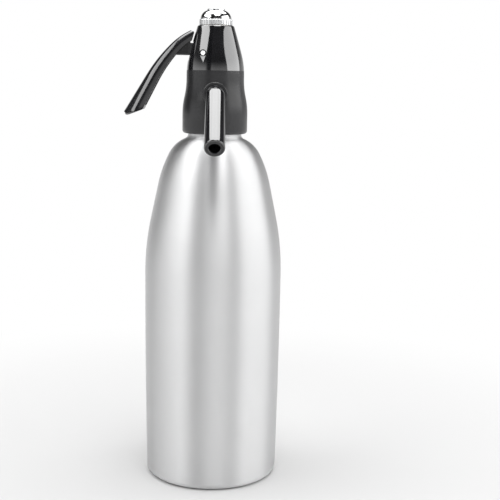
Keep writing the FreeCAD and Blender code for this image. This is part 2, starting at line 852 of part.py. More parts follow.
def charge_inlet():
    """The threaded stub that clamps the casing and takes the gas charger."""
    stub = rod(inlet_stem - part_clearance, duct_height + duct_radius, platform_top)
    stub = stub.fuse(rod(inlet_shank - part_clearance, platform_top, casing_top))
    stub = stub.fuse(rod(inlet_flange, casing_top, inlet_flange_top))
    stub = stub.fuse(rod(inlet_radius, inlet_flange_top, inlet_top))
    stub = stub.fuse(thread(inlet_radius - thread_clearance, inlet_crest,
                            inlet_pitch, inlet_turns, inlet_thread_start))
    stub = stub.cut(rod(inlet_bore, charger_floor, inlet_top))
    return stub.cut(rod(piercer_radius, platform_bottom, inlet_top))


def charger_seal():
    """The ring that seals on the nose of a gas charger."""
    return ring(charger_seal_hole, inlet_bore - part_clearance, charger_floor,
                charger_floor + charger_seal_height)


def piercing_pin():
    """The hollow pin that pierces a gas charger."""
    bottom = charger_floor - piercer_depth
    top = charger_floor + piercer_rise
    shaft = turned([], [(0, bottom), (piercer_radius, bottom), (piercer_radius, top - piercer_taper),
                        (piercer_bore + piercer_land, top), (0, top), (0, bottom)])
    return shaft.cut(rod(piercer_bore, bottom, top))


# ---------------------------------------------------------------- cap

def cap_grip():
    """The fluted ring at the foot of the cap."""
    edges = []
    land = 1.0 - cap_flute_share
    shares = (0.0, land / 2, land, land + cap_flute_share / 2, 1.0)
    for flute in range(cap_flutes):
        angles = [math.tau * (flute + share) / cap_flutes for share in shares]
        radii = [cap_radius, cap_radius, cap_radius, cap_radius - cap_flute_depth, cap_radius]
        stops = [Vector(r * math.cos(a), r * math.sin(a), cap_bottom) for r, a in zip(radii, angles)]
        edges.append(Part.Arc(*stops[:3]).toShape())
        edges.append(Part.Arc(*stops[2:]).toShape())
    return Part.Face(Part.Wire(edges)).extrude(Vector(0, 0, cap_flute_height))


def cap_dome():
    """The dome of the cap with the low disc on top."""
    foot = cap_radius - dome_step
    dome = Outline(foot, dome_bottom, 0.0)
    dome.meet(disc_radius, dome_bottom + dome_rise)
    disc = Outline(dome.radius, dome.height, 0.0)
    disc.straight(disc_rise - disc_rounding)
    disc.bend(disc_rounding, 90.0)
    return turned(dome.edges() + disc.edges(), [(0, disc.height), (0, cap_bottom), (foot, cap_bottom)])


def top_cap():
    """The chrome cap that screws over the charging inlet."""
    body = cap_grip().fuse(cap_dome())
    mouth_top = cap_bottom + cap_mouth
    throat = inlet_radius + part_clearance
    hollow = turned([], [(0, cap_bottom), (inlet_flange + cap_clearance, cap_bottom),
                         (inlet_flange + cap_clearance, mouth_top), (cap_bore, mouth_top),
                         (cap_bore, inlet_top - rim_land), (throat, inlet_top), (throat, cap_ceiling),
                         (0, cap_ceiling), (0, cap_bottom)])
    ridge = thread(cap_bore + thread_clearance, inlet_radius + thread_clearance,
                   inlet_pitch, inlet_turns, inlet_thread_start, 180.0)
    return body.cut(hollow).fuse(ridge)


def cap_seal():
    """The disc in the cap that closes the charging inlet."""
    return rod(inlet_radius, inlet_top, cap_ceiling)


# ---------------------------------------------------------------- the siphon

PIECES = (
    bottle, head_gasket,
    head_casing, valve_body, dip_tube, dip_tube_seal, valve_seat, gland_nut, stem_seal, pivot_pin,
    spout, spout_seal, check_valve, inlet_seal, charge_inlet, charger_seal, piercing_pin,
    valve_stem, valve_washer, stem_nut, valve_spring,
    lever,
    cap_seal, top_cap,
)


def build():
    """Write one STEP file for each piece."""
    os.makedirs("parts", exist_ok=True)
    for piece in PIECES:
        shape = piece()
        shape.exportStep(os.path.join("parts", piece.__name__ + ".step"))
        print(piece.__name__, len(shape.Solids), round(shape.Volume, 1), shape.isValid())


if __name__ == "__main__":
    build()
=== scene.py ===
import json
import logging
import math
from collections.abc import Callable, Iterable
from dataclasses import dataclass
from enum import Enum

import bmesh
import bpy
from bmesh.types import BMEdge, BMesh, BMVert
from bpy.types import Material, MeshPolygon, Node, NodeSocket, NodeTree, Object
from mathutils import Matrix, Vector


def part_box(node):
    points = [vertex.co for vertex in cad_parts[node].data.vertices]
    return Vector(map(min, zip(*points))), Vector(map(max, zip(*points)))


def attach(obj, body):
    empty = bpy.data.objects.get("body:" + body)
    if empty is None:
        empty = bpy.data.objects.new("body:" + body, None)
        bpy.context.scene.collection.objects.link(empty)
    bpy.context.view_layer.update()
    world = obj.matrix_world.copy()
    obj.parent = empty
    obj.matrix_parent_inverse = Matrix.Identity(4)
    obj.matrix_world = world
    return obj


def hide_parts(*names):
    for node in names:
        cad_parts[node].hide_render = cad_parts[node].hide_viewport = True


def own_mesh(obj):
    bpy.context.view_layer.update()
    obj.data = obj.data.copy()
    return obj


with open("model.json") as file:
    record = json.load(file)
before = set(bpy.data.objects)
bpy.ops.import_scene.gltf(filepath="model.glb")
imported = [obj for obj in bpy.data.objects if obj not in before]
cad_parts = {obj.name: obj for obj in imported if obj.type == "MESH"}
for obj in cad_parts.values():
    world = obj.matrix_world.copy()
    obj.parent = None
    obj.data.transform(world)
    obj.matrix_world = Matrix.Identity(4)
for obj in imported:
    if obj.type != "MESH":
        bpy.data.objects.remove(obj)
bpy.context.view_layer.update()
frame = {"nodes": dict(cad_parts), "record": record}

LOG = logging.getLogger("siphon")

# Forms are drawn in millimetres and degrees, and become metres when they are dressed.
MM = 0.001
UP = Vector((0.0, 0.0, 1.0))
TOUCHING = 5e-3  # points nearer than this are one point
ON_AXIS = 0.02  # points nearer to the Z axis than this lie on it
SLIVER = 0.02  # edges shorter than this are dissolved
ROUND_STEPS = 192
SMALL_STEPS = 96
PIN_STEPS = 64
BEND_STEP = 6.0
TIGHT_BEND_STEP = 12.0
STROKE_STEP = 3.0

# Sizes that several pieces share.
SPOUT_HEIGHT = 253.5
PIVOT_OFFSET = 8.0
PIVOT_HEIGHT = 279.4
CASING_TOP = 297.013274

Colour = tuple[float, float, float]
Place = tuple[float, float, float]
Point = tuple[float, float]


# ---------------------------------------------------------------- drawing

class Carving(Enum):
    """How one closed form works on another."""

    CUT = "DIFFERENCE"
    JOIN = "UNION"
    KEEP = "INTERSECT"


class Run:
    """A smooth run of straight strokes and tangent bends in the XZ plane, beside the Z axis.

    A place is a radius, a height and a lean, which is the heading's angle from +Z towards the axis.
    A stroke is the radius of a bend and its turn, or 0 and a length.
    """

    def __init__(self, radius: float, height: float, lean: float) -> None:
        """Starts the run at a place."""
        self.start = self.end = (radius, height, lean)
        self.strokes: list[Point] = []

    def straight(self, length: float) -> "Run":
        """Goes straight on for a length, and returns the run."""
        return self.bend(0.0, length)

    def bend(self, radius: float, turn: float) -> "Run":
        """Adds a bend.

        Args:
            radius: Its radius.
            turn: Its turn towards the axis, which is negative where it goes away from it.

        Returns:
            The run.
        """
        self.strokes.append((radius, turn))
        self.end = self.after(self.end, radius, turn)
        return self

    def meet(self, radius: float, height: float) -> "Run":
        """Goes to a point on one tangent arc.

        Args:
            radius: Distance of the point from the axis.
            height: Its height.

        Returns:
            The run.
        """
        across = self.end[0] - radius
        up = height - self.end[1]
        half = math.degrees(math.atan2(across, up)) - self.end[2]
        return self.bend(math.hypot(across, up) / (2 * abs(math.sin(math.radians(half)))), 2 * half)

    def at(self, distance: float) -> Place:
        """Finds the place at a distance along the run.

        Args:
            distance: Distance from the start.

        Returns:
            The place.
        """
        place = self.start
        for radius, amount in self.strokes:
            span = self.span(radius, amount)
            share = min(distance / span, 1.0)
            place = self.after(place, radius, amount * share)
            distance -= span * share
        return place

    def length(self) -> float:
        """Returns the length of the whole run."""
        return sum(self.span(*stroke) for stroke in self.strokes)

    @staticmethod
    def span(radius: float, amount: float) -> float:
        """Returns the length of one stroke."""
        return amount if radius == 0.0 else radius * math.radians(abs(amount))

    @staticmethod
    def after(place: Place, bend: float, amount: float) -> Place:
        """Works out the place after one stroke.

        Args:
            place: The place before it.
            bend: Radius of the bend, or 0 for a straight stroke.
            amount: Turn of the bend, or length of a straight stroke.

        Returns:
            The place after it.
        """
        radius, height, lean = place
        tilt = math.radians(lean)
        if bend == 0.0:
            return radius - amount * math.sin(tilt), height + amount * math.cos(tilt), lean
        side = math.copysign(bend, amount)
        turned = math.radians(lean + amount)
        return (radius - side * (math.cos(tilt) - math.cos(turned)),
                height + side * (math.sin(turned) - math.sin(tilt)), lean + amount)

    @staticmethod
    def inside(place: Place, inset: float) -> Point:
        """Returns the point at an inset from a place, square to its heading and towards the axis."""
        tilt = math.radians(place[2])
        return place[0] - inset * math.cos(tilt), place[1] - inset * math.sin(tilt)


class Profile:
    """An edge profile in the XZ plane, drawn point by point. A point is a radius and a height."""

    def __init__(self, start: Point, *points: Point) -> None:
        """Draws the profile through its first points.

        Args:
            start: Where it starts.
            points: The points after the start.
        """
        self.mesh = bmesh.new()
        self.first = self.tip = bmesh.ops.create_vert(self.mesh, co=(start[0], 0.0, start[1]))["vert"][0]
        self.through(*points)

    def through(self, *points: Point) -> "Profile":
        """Draws straight lines through points, in short steps.

        Args:
            points: The points.

        Returns:
            The profile.
        """
        for radius, height in points:
            span = Vector((radius, 0.0, height)) - self.tip.co
            steps = math.ceil(span.length / STROKE_STEP) if span.length >= TOUCHING else 0
            for _ in range(steps):
                self.tip = bmesh.ops.extrude_vert_indiv(self.mesh, verts=[self.tip])["verts"][0]
                bmesh.ops.translate(self.mesh, verts=[self.tip], vec=span / steps)
        return self

    def arc(self, lean: float, bend: float, turn: float) -> "Profile":
        """Draws a tangent arc.

        Args:
            lean: Heading at the tip.
            bend: Radius of the arc.
            turn: Turn towards the axis.

        Returns:
            The profile.
        """
        tilt = math.radians(lean)
        side = math.copysign(bend, turn)
        centre = self.tip.co - Vector((side * math.cos(tilt), 0.0, side * math.sin(tilt)))
        if bend < STROKE_STEP:
            steps = max(3, math.ceil(abs(turn) / TIGHT_BEND_STEP))
        else:
            steps = max(2, math.ceil(abs(turn) / BEND_STEP), math.ceil(Run.span(bend, turn) / STROKE_STEP))
        made = bmesh.ops.spin(self.mesh, geom=[self.tip], cent=centre, axis=(0.0, -1.0, 0.0),
                              angle=math.radians(turn), steps=steps)
        self.tip = made["geom_last"][0]
        return self

    def follow(self, run: Run, inset: float = 0.0, back: bool = False) -> "Profile":
        """Draws a whole run, or a line at an inset from it.

        Args:
            run: The run to draw.
            inset: Distance from the run towards the axis.
            back: Whether the run is drawn from its end to its start.

        Returns:
            The profile.
        """
        place = run.end if back else run.start
        self.through(Run.inside(place, inset))
        heading = place[2] + 180.0 if back else place[2]
        for bend, amount in reversed(run.strokes) if back else run.strokes:
            if bend == 0.0:
                ahead = Run.after((self.tip.co.x, self.tip.co.z, heading), bend, amount)
                self.through(ahead[:2])
            else:
                turn = -amount if back else amount
                self.arc(heading, bend - inset * math.copysign(1.0, amount), turn)
                heading += turn
        return self

    def close(self) -> "Profile":
        """Joins the tip to the first point, and returns the profile."""
        bmesh.ops.contextual_create(self.mesh, geom=[self.tip, self.first])
        return self

    def prism(self, width: float) -> BMesh:
        """Stretches the closed profile along Y on the lever's side, where its radius runs towards -X.

        Args:
            width: Width of the prism, which lies evenly about the XZ plane.

        Returns:
            The closed prism.
        """
        mesh = self.mesh
        bmesh.ops.rotate(mesh, verts=mesh.verts[:], matrix=Matrix.Rotation(math.pi, 3, "Z"))
        bmesh.ops.edgeloop_fill(mesh, edges=mesh.edges[:])
        bmesh.ops.translate(mesh, verts=mesh.verts[:], vec=(0.0, -width / 2, 0.0))
        moved = bmesh.ops.extrude_face_region(mesh, geom=mesh.faces[:], use_keep_orig=True)["geom"]
        bmesh.ops.translate(mesh, verts=[item for item in moved if isinstance(item, BMVert)],
                            vec=(0.0, width, 0.0))
        return outwards(mesh)

    def turned(self, steps: int = ROUND_STEPS) -> BMesh:
        """Turns the profile about Z.

        Args:
            steps: Number of steps in the full turn.

        Returns:
            The turned mesh, with its poles closed.
        """
        mesh = self.mesh
        for vert in mesh.verts:
            if abs(vert.co.x) < ON_AXIS:
                vert.co.x = 0.0
        bmesh.ops.spin(mesh, geom=mesh.verts[:] + mesh.edges[:], axis=UP, angle=math.tau, steps=steps,
                       use_merge=True)
        bmesh.ops.remove_doubles(mesh, verts=mesh.verts[:], dist=TOUCHING)
        return outwards(mesh)


def outwards(mesh: BMesh) -> BMesh:
    """Turns the faces of a closed mesh outwards, and returns it."""
    bmesh.ops.recalc_face_normals(mesh, faces=mesh.faces[:])
    return mesh


def capped(mesh: BMesh, *loops: list[BMEdge]) -> BMesh:
    """Fills loops of open edges, and turns the faces outwards.

    Args:
        mesh: The mesh.
        loops: The loops.

    Returns:
        The closed mesh.
    """
    for loop in loops:
        bmesh.ops.edgeloop_fill(mesh, edges=loop)
    return outwards(mesh)


def linked(name: str, data: bpy.types.ID) -> Object:
    """Makes an object of some data.

    Args:
        name: Name of the object.
        data: Its mesh, light or camera.

    Returns:
        The object, linked into the scene.
    """
    made = bpy.data.objects.new(name, data)
    bpy.context.scene.collection.objects.link(made)
    return made


def drawn(mesh: BMesh, name: str) -> Object:
    """Makes an object of a mesh, still in the mesh's own units.

    Args:
        mesh: The mesh, which is freed.
        name: Name of the object.

    Returns:
        The object.
    """
    data = bpy.data.meshes.new(name)
    mesh.to_mesh(data)
    mesh.free()
    return linked(name, data)


def discarded(piece: Object) -> None:
    """Removes an object and its mesh.

    Args:
        piece: The object.
    """
    data = piece.data
    bpy.data.objects.remove(piece)
    bpy.data.meshes.remove(data)


def carved(piece: Object, tool: BMesh, how: Carving = Carving.CUT) -> Object:
    """Cuts, joins or keeps the part of a piece that a closed form holds.

    Args:
        piece: The piece, in millimetres.
        tool: The closed form, which is used up.
        how: What the form does.

    Returns:
        The piece.
    """
    other = drawn(outwards(tool), "tool")
    work = piece.modifiers.new("carving", "BOOLEAN")
    work.operation = how.value
    work.solver = "EXACT"
    work.object = other
    bpy.context.view_layer.update()
    whole = piece.data
    piece.data = bpy.data.meshes.new_from_object(
        piece.evaluated_get(bpy.context.evaluated_depsgraph_get()))
    piece.data.name = piece.name
    piece.modifiers.clear()
    bpy.data.meshes.remove(whole)
    discarded(other)
    return piece


def cylinder(radius: float, start: Vector, end: Vector, steps: int = SMALL_STEPS) -> BMesh:
    """Makes a closed cylinder between two points.

    Args:
        radius: Its radius.
        start: Middle of one end.
        end: Middle of the other end.
        steps: Number of sides.

    Returns:
        The mesh.
    """
    mesh = bmesh.new()
    axis = end - start
    place = Matrix.Translation((start + end) / 2) @ UP.rotation_difference(axis).to_matrix().to_4x4()
    bmesh.ops.create_cone(mesh, cap_ends=True, segments=steps, radius1=radius, radius2=radius,
                          depth=axis.length, matrix=place)
    return mesh


def box(corner: Vector, opposite: Vector) -> BMesh:
    """Makes a closed box.

    Args:
        corner: One corner.
        opposite: The corner opposite it.

    Returns:
        The mesh.
    """
    mesh = bmesh.new()
    size = Matrix.Diagonal((*map(abs, opposite - corner), 1.0))
    bmesh.ops.create_cube(mesh, size=1.0, matrix=Matrix.Translation((corner + opposite) / 2) @ size)
    return mesh


def rounded(mesh: BMesh, edges: list[BMEdge], radius: float, segments: int) -> None:
    """Rounds edges of a mesh, in a number of segments."""
    bmesh.ops.bevel(mesh, geom=edges, offset=radius, offset_type="OFFSET", segments=segments, profile=0.5,
                    affect="EDGES", clamp_overlap=True, material=-1)


def extended(mesh: BMesh, loop: list[BMEdge]) -> tuple[set[BMVert], list[BMEdge]]:
    """Extrudes loops of open edges, and leaves the new loops where the old ones are.

    Args:
        mesh: The mesh.
        loop: The open edges.

    Returns:
        The new vertices and the new open edges.
    """
    made = bmesh.ops.extrude_edge_only(mesh, edges=loop)["geom"]
    fresh = {item for item in made if isinstance(item, BMVert)}
    return fresh, [item for item in made if isinstance(item, BMEdge) and fresh.issuperset(item.verts)]


def swept(mesh: BMesh, loop: list[BMEdge], **sweep: object) -> list[BMEdge]:
    """Spins loops of open edges.

    Args:
        mesh: The mesh.
        loop: The open edges.
        sweep: What the spin is told: its axis, angle, steps, and its centre or the shift of a step.

    Returns:
        The edges at the end of the spin.
    """
    verts = list(dict.fromkeys(vert for edge in loop for vert in edge.verts))
    made = bmesh.ops.spin(mesh, geom=verts + loop, **sweep)
    return [item for item in made["geom_last"] if isinstance(item, BMEdge)]


def wound(mesh: BMesh, coils: tuple[Point, ...]) -> BMesh:
    """Winds a closed section about Z, and closes its ends.

    Args:
        mesh: A mesh that holds the section's outline alone.
        coils: The turns and the rise of each stretch.

    Returns:
        The mesh.
    """
    first = loop = mesh.edges[:]
    for turns, rise in coils:
        steps = math.ceil(turns * SMALL_STEPS)
        loop = swept(mesh, loop, axis=UP, dvec=UP * (rise / steps), angle=math.tau * turns, steps=steps)
    return capped(mesh, first, loop)


@dataclass(frozen=True)
class Thread:
    """The ridge of a screw thread about Z, whose widths are shares of its pitch."""

    root: float
    crest: float
    pitch: float
    turns: float
    start: float
    turned_by: float = 0.0
    root_width: float = 0.5
    crest_width: float = 0.28

    def ridge(self) -> BMesh:
        """Winds the ridge from its section.

        Returns:
            The ridge, closed at both ends.
        """
        root_half = self.pitch * self.root_width / 2
        crest_half = self.pitch * self.crest_width / 2
        section = Profile((self.root, self.start - root_half), (self.crest, self.start - crest_half),
                          (self.crest, self.start + crest_half), (self.root, self.start + root_half))
        mesh = wound(section.close().mesh, ((self.turns, self.pitch * self.turns),))
        bmesh.ops.rotate(mesh, verts=mesh.verts[:],
                         matrix=Matrix.Rotation(math.radians(self.turned_by), 3, "Z"))
        return mesh


# ---------------------------------------------------------------- finishes

class Graph:
    """A short way to build a tree of shader nodes."""

    def __init__(self, tree: NodeTree, coordinates: str) -> None:
        """Starts with one kind of texture coordinates."""
        self.tree = tree
        self.place: NodeSocket = self.node("TexCoord").outputs[coordinates]

    def put(self, target: NodeSocket, value: object) -> None:
        """Links an output to an input, or gives the input a value.

        Args:
            target: The input.
            value: The output or the value.
        """
        if isinstance(value, NodeSocket):
            self.tree.links.new(value, target)
        else:
            target.default_value = value

    def node(self, kind: str, *fed: object, **values: object) -> Node:
        """Adds a node.

        Args:
            kind: Its type.
            fed: The outputs or values for its first inputs.
            values: Its properties, and the outputs or values for its inputs by name.

        Returns:
            The node.
        """
        made = self.tree.nodes.new("ShaderNode" + kind)
        for key, value in values.items():
            if hasattr(made, key):
                setattr(made, key, value)
            else:
                self.put(made.inputs[key], value)
        for target, value in zip(made.inputs, fed):
            self.put(target, value)
        return made

    def ranged(self, value: NodeSocket, start: float, end: float, low: float = 0.0, high: float = 1.0,
               smooth: bool = False) -> NodeSocket:
        """Spreads one range of a value over another.

        Args:
            value: The value.
            start: Where the first range starts.
            end: Where it ends.
            low: Result at its start.
            high: Result at its end.
            smooth: Whether the spread starts and ends softly.

        Returns:
            The result.
        """
        kind = "SMOOTHSTEP" if smooth else "LINEAR"
        return self.node("MapRange", value, start, end, low, high, interpolation_type=kind).outputs["Result"]

    def mix(self, share: object, low: object, high: object, blend: str = "MIX") -> NodeSocket:
        """Mixes two colours.

        Args:
            share: Share of the second colour.
            low: The first colour.
            high: The second colour.
            blend: How the second works on the first.

        Returns:
            The mixed colour.
        """
        made = self.node("Mix", share, data_type="RGBA", blend_type=blend)
        self.put(made.inputs[6], low)
        self.put(made.inputs[7], high)
        return made.outputs[2]


class Surface(Graph):
    """The nodes of one material, on the piece's own coordinates."""

    noise_low = 0.3
    noise_high = 0.7

    def __init__(self, name: str) -> None:
        """Starts a material with one principled shader.

        Args:
            name: Name of the material.
        """
        self.material: Material = bpy.data.materials.new(name)
        self.material.use_nodes = True
        super().__init__(self.material.node_tree, "Object")
        self.shader: Node = self.tree.nodes["Principled BSDF"]

    def set(self, **values: object) -> None:
        """Sets or links inputs of the shader; an underscore in a name stands for a space."""
        for key, value in values.items():
            self.put(self.shader.inputs[key.replace("_", " ")], value)

    def noise(self, *scale: float, detail: float = 2.0, rough: float = 0.5) -> NodeSocket:
        """Adds noise.

        Args:
            scale: Its scale per metre, along each axis or along all of them.
            detail: Its detail.
            rough: Its roughness.

        Returns:
            Its value.
        """
        mapping = self.node("Mapping", self.place, Scale=scale if len(scale) == 3 else scale * 3)
        return self.node("TexNoise", mapping.outputs["Vector"], Scale=1.0, Detail=detail,
                         Roughness=rough).outputs["Fac"]

    def vary(self, finish: "Finish", tints: NodeSocket, marks: NodeSocket, relief: NodeSocket,
             height: float) -> None:
        """Varies the colour, the roughness and the relief over the surface.

        Args:
            finish: The finish that gives the colours and the roughness.
            tints: Noise that chooses the colour.
            marks: Noise that chooses the roughness.
            relief: Noise that raises the surface.
            height: Height of the relief, in metres.
        """
        chosen = self.ranged(tints, self.noise_low, self.noise_high)
        bump = self.node("Bump", Strength=1.0, Distance=height, Height=relief)
        self.set(Base_Color=self.mix(chosen, (*finish.low, 1.0), (*finish.high, 1.0)),
                 Roughness=self.ranged(marks, self.noise_low, self.noise_high, *finish.roughness),
                 Normal=bump.outputs["Normal"])


@dataclass(frozen=True)
class Finish:
    """What each finish has: a name, two tints and a range of roughness."""

    name: str
    low: Colour
    high: Colour
    roughness: Point


@dataclass(frozen=True)
class GlossMoulding(Finish):
    """Polished black moulding with a deep, slightly uneven shine."""

    low: Colour = (0.008, 0.008, 0.009)
    high: Colour = (0.014, 0.014, 0.016)
    roughness: Point = (0.05, 0.09)
    index: float = 2.2
    coat: float = 1.0
    relief: float = 4e-6
    tint_scale: float = 60.0
    mark_scale: float = 240.0
    wave_scale: float = 130.0

    def made(self) -> Material:
        """Makes the material.

        Returns:
            The material.
        """
        surface = Surface(self.name)
        marks = surface.noise(self.mark_scale, detail=4.0, rough=0.6)
        surface.vary(self, surface.noise(self.tint_scale, detail=3.0), marks,
                     surface.noise(self.wave_scale, detail=1.0), self.relief)
        surface.set(IOR=self.index, Coat_Weight=self.coat, Coat_Roughness=0.03, Coat_IOR=1.5)
        return surface.material


@dataclass(frozen=True)
class SatinMoulding(Finish):
    """Moulding with a fine spark-eroded grain."""

    grain: float = 2200.0
    relief: float = 2e-5
    tint_scale: float = 90.0

    def made(self) -> Material:
        """Makes the material.

        Returns:
            The material.
        """
        surface = Surface(self.name)
        grain = surface.noise(self.grain)
        surface.vary(self, surface.noise(self.tint_scale, detail=3.0), grain, grain, self.relief)
        surface.set(IOR=1.5)
        return surface.material


@dataclass(frozen=True)
class BrushedMetal(Finish):
    """Metal brushed round the Z axis, which draws its highlights out along it."""

    roughness: Point = (0.47, 0.53)
    anisotropy: float = 0.92
    pitch: float = 2600.0
    relief: float = 2e-6
    tint_scale: Place = (14.0, 14.0, 9.0)
    mark_scale: float = 24.0

    def made(self) -> Material:
        """Makes the material.

        Returns:
            The material.
        """
        surface = Surface(self.name)
        tints = surface.noise(*self.tint_scale, detail=4.0, rough=0.6)
        marks = surface.noise(self.mark_scale, self.mark_scale, self.pitch, detail=3.0, rough=0.65)
        surface.vary(self, tints, marks, marks, self.relief)
        about = surface.node("VectorMath", UP, surface.place, operation="CROSS_PRODUCT")
        turned = surface.node("VectorTransform", about.outputs["Vector"], vector_type="VECTOR",
                              convert_from="OBJECT", convert_to="WORLD")
        surface.set(Metallic=1.0, Anisotropic=self.anisotropy, Anisotropic_Rotation=0.25,
                    Tangent=turned.outputs["Vector"])
        return surface.material


@dataclass(frozen=True)
class CastMetal(Finish):
    """Metal with an even, fine grain, such as plate, a casting or a ground rod."""

    grain: float
    relief: float
    tint_scale: float = 110.0

    def made(self) -> Material:
        """Makes the material.

        Returns:
            The material.
        """
        surface = Surface(self.name)
        grain = surface.noise(self.grain, detail=3.0)
        surface.vary(self, surface.noise(self.tint_scale, detail=3.0), grain, grain, self.relief)
        surface.set(Metallic=1.0)
        return surface.material


FINISHES = {
    "bottle_aluminium": BrushedMetal("satin_aluminium", (0.84, 0.842, 0.845), (0.885, 0.887, 0.89)),
    "gloss_black": GlossMoulding("gloss_black"),
    "spout_black": GlossMoulding("spout_gloss_black", index=1.85),
    "lever_black": GlossMoulding("lever_gloss_black", (0.012, 0.012, 0.013), (0.02, 0.02, 0.022),
                                 (0.11, 0.15), 1.8, 0.7),
    "chrome": CastMetal("chrome", (0.82, 0.83, 0.84), (0.87, 0.875, 0.88), (0.09, 0.14), 300.0, 1e-6),
    "die_cast": CastMetal("die_cast", (0.55, 0.56, 0.57), (0.66, 0.67, 0.68), (0.4, 0.6), 900.0, 2e-5),
    "brass": CastMetal("brass", (0.72, 0.52, 0.24), (0.83, 0.63, 0.33), (0.2, 0.34), 700.0, 4e-6),
    "steel": CastMetal("ground_steel", (0.62, 0.62, 0.63), (0.72, 0.72, 0.73), (0.3, 0.42), 800.0, 3e-6),
    "rubber": SatinMoulding("rubber", (0.022, 0.022, 0.022), (0.035, 0.035, 0.034), (0.6, 0.75), 1400.0),
    "tube_plastic": SatinMoulding("tube_plastic", (0.82, 0.82, 0.79), (0.88, 0.88, 0.86), (0.3, 0.42), 700.0),
}
SATIN = SatinMoulding("satin_black", (0.022, 0.022, 0.023), (0.03, 0.03, 0.032), (0.26, 0.32))
FLUTED = CastMetal("fluted_chrome", (0.84, 0.85, 0.86), (0.9, 0.905, 0.91), (0.24, 0.32), 500.0, 2e-6)
MATERIALS: dict[str, Material] = {}


def satined(piece: Object, chosen: Callable[[MeshPolygon], bool], finish: Finish = SATIN) -> None:
    """Gives a second finish to some faces of a dressed piece.

    Args:
        piece: The piece.
        chosen: Whether a face takes it.
        finish: The finish.
    """
    piece.data.materials.append(MATERIALS[finish.name])
    for face in piece.data.polygons:
        face.material_index = int(chosen(face))


def dressed(piece: Object, body: str, slot: str, replaced: tuple[str, ...] = (),
            sharp: float = 32.0) -> Object:
    """Finishes a piece drawn in millimetres and hangs it on its body.

    Args:
        piece: The piece.
        body: Name of the body it moves with.
        slot: Material slot it takes its finish from.
        replaced: Nodes it stands for.
        sharp: Angle over which an edge stays sharp.

    Returns:
        The piece.
    """
    mesh = bmesh.new()
    mesh.from_mesh(piece.data)
    bmesh.ops.dissolve_degenerate(mesh, dist=SLIVER, edges=mesh.edges[:])
    bmesh.ops.scale(mesh, vec=(MM, MM, MM), verts=mesh.verts[:])
    mesh.to_mesh(piece.data)
    mesh.free()
    piece.data.materials.clear()
    piece.data.materials.append(MATERIALS[slot])
    piece.data.shade_smooth()
    piece.data.set_sharp_from_angle(angle=math.radians(sharp))
    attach(piece, body)
    if replaced:
        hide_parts(*replaced)
    LOG.info("%s: %d faces on %s", piece.name, len(piece.data.polygons), body)
    return piece


# ---------------------------------------------------------------- bottle

@dataclass
class Bottle:
    """The drawn aluminium bottle with its threaded neck."""

    base_radius: float = 43.8
    belly_radius: float = 45.1
    wall: float = 1.4
    base_corner: float = 4.5
    standing_width: float = 3.0
    standing_rounding: float = 3.0
    punt_height: float = 9.0
    shoulder_top: float = 227.5
    belly_bend: float = 175.0
    cone_lean: float = 11.9
    crown_bend: float = 79.0
    crown_lean: float = 27.4
    neck_bend: float = 20.4
    neck_lean: float = 67.8
    neck_fillet: float = 2.6
    neck_radius: float = 15.8
    mouth_radius: float = 13.5
    neck_length: float = 12.6
    thread_depth: float = 1.2
    thread_gap: float = 0.4
    thread_pitch: float = 4.0
    thread_turns: float = 1.95
    thread_start: float = 231.4
    collar_step: float = 0.4
    collar_rise: float = 1.1

    def outline(self) -> Run:
        """Works out the outside, from the middle of the base to the foot of the neck's fillet.

        Returns:
            The outside.
        """
        standing = self.base_radius - self.base_corner - self.standing_width
        slope = 2 * math.degrees(math.atan2(self.punt_height, standing))
        punt = standing / math.sin(math.radians(slope)) - self.standing_rounding
        bends = self.crowned(Run(0.0, 0.0, 0.0).bend(self.belly_bend, self.cone_lean))
        bends.bend(self.neck_fillet, -self.neck_lean)
        tilt = math.radians(self.cone_lean)
        cone_length = (self.belly_radius - self.collar_radius() + bends.end[0]) / math.sin(tilt)
        belly_height = self.shoulder_top - bends.end[1] - cone_length * math.cos(tilt)
        rise = belly_height - self.base_corner
        side_lean = -2 * math.degrees(math.atan2(self.belly_radius - self.base_radius, rise))
        run = Run(0.0, self.punt_height, -90.0)
        run.bend(punt, -slope).bend(self.standing_rounding, slope).straight(self.standing_width)
        run.bend(self.base_corner, 90.0 + side_lean).meet(self.belly_radius, belly_height)
        run.bend(self.belly_bend, self.cone_lean - run.end[2]).straight(cone_length)
        return self.crowned(run)

    def crowned(self, run: Run) -> Run:
        """Takes a run on over the crown, from the cone to the neck's fillet, and returns it."""
        run.bend(self.crown_bend, self.crown_lean - self.cone_lean)
        return run.bend(self.neck_bend, self.neck_lean - self.crown_lean)

    def collar_radius(self) -> float:
        """Returns the radius of the collar that the fillet runs into."""
        return self.neck_radius + self.thread_depth + self.collar_step

    def shell(self) -> Object:
        """Builds the body, the neck and the inside as one closed wall.

        Returns:
            The wall.
        """
        run = self.outline()
        collar = self.collar_radius()
        collar_top = self.shoulder_top + self.collar_rise
        rim = collar_top + self.neck_length
        chamfer = self.wall / 2
        inner, foot = Run.inside(run.end, self.wall)
        ceiling = foot + (inner - self.mouth_radius) / math.tan(math.radians(self.neck_lean))
        profile = Profile((0.0, self.punt_height)).follow(run)
        profile.arc(run.end[2], self.neck_fillet, -self.neck_lean)
        profile.through((collar, collar_top - self.collar_step), (collar - self.collar_step, collar_top),
                        (self.neck_radius, collar_top), (self.neck_radius, rim - chamfer),
                        (self.neck_radius - chamfer, rim), (self.mouth_radius, rim),
                        (self.mouth_radius, ceiling))
        return drawn(profile.follow(run, self.wall, back=True).turned(), "bottle_shell")

    def build(self) -> None:
        """Builds and dresses the bottle's pieces."""
        dressed(self.shell(), "bottle", "bottle_aluminium", ("bottle",))
        thread = Thread(self.neck_radius - self.thread_gap, self.neck_radius + self.thread_depth,
                        self.thread_pitch, self.thread_turns, self.thread_start)
        dressed(drawn(thread.ridge(), "bottle_thread"), "bottle", "bottle_aluminium")


# ---------------------------------------------------------------- head

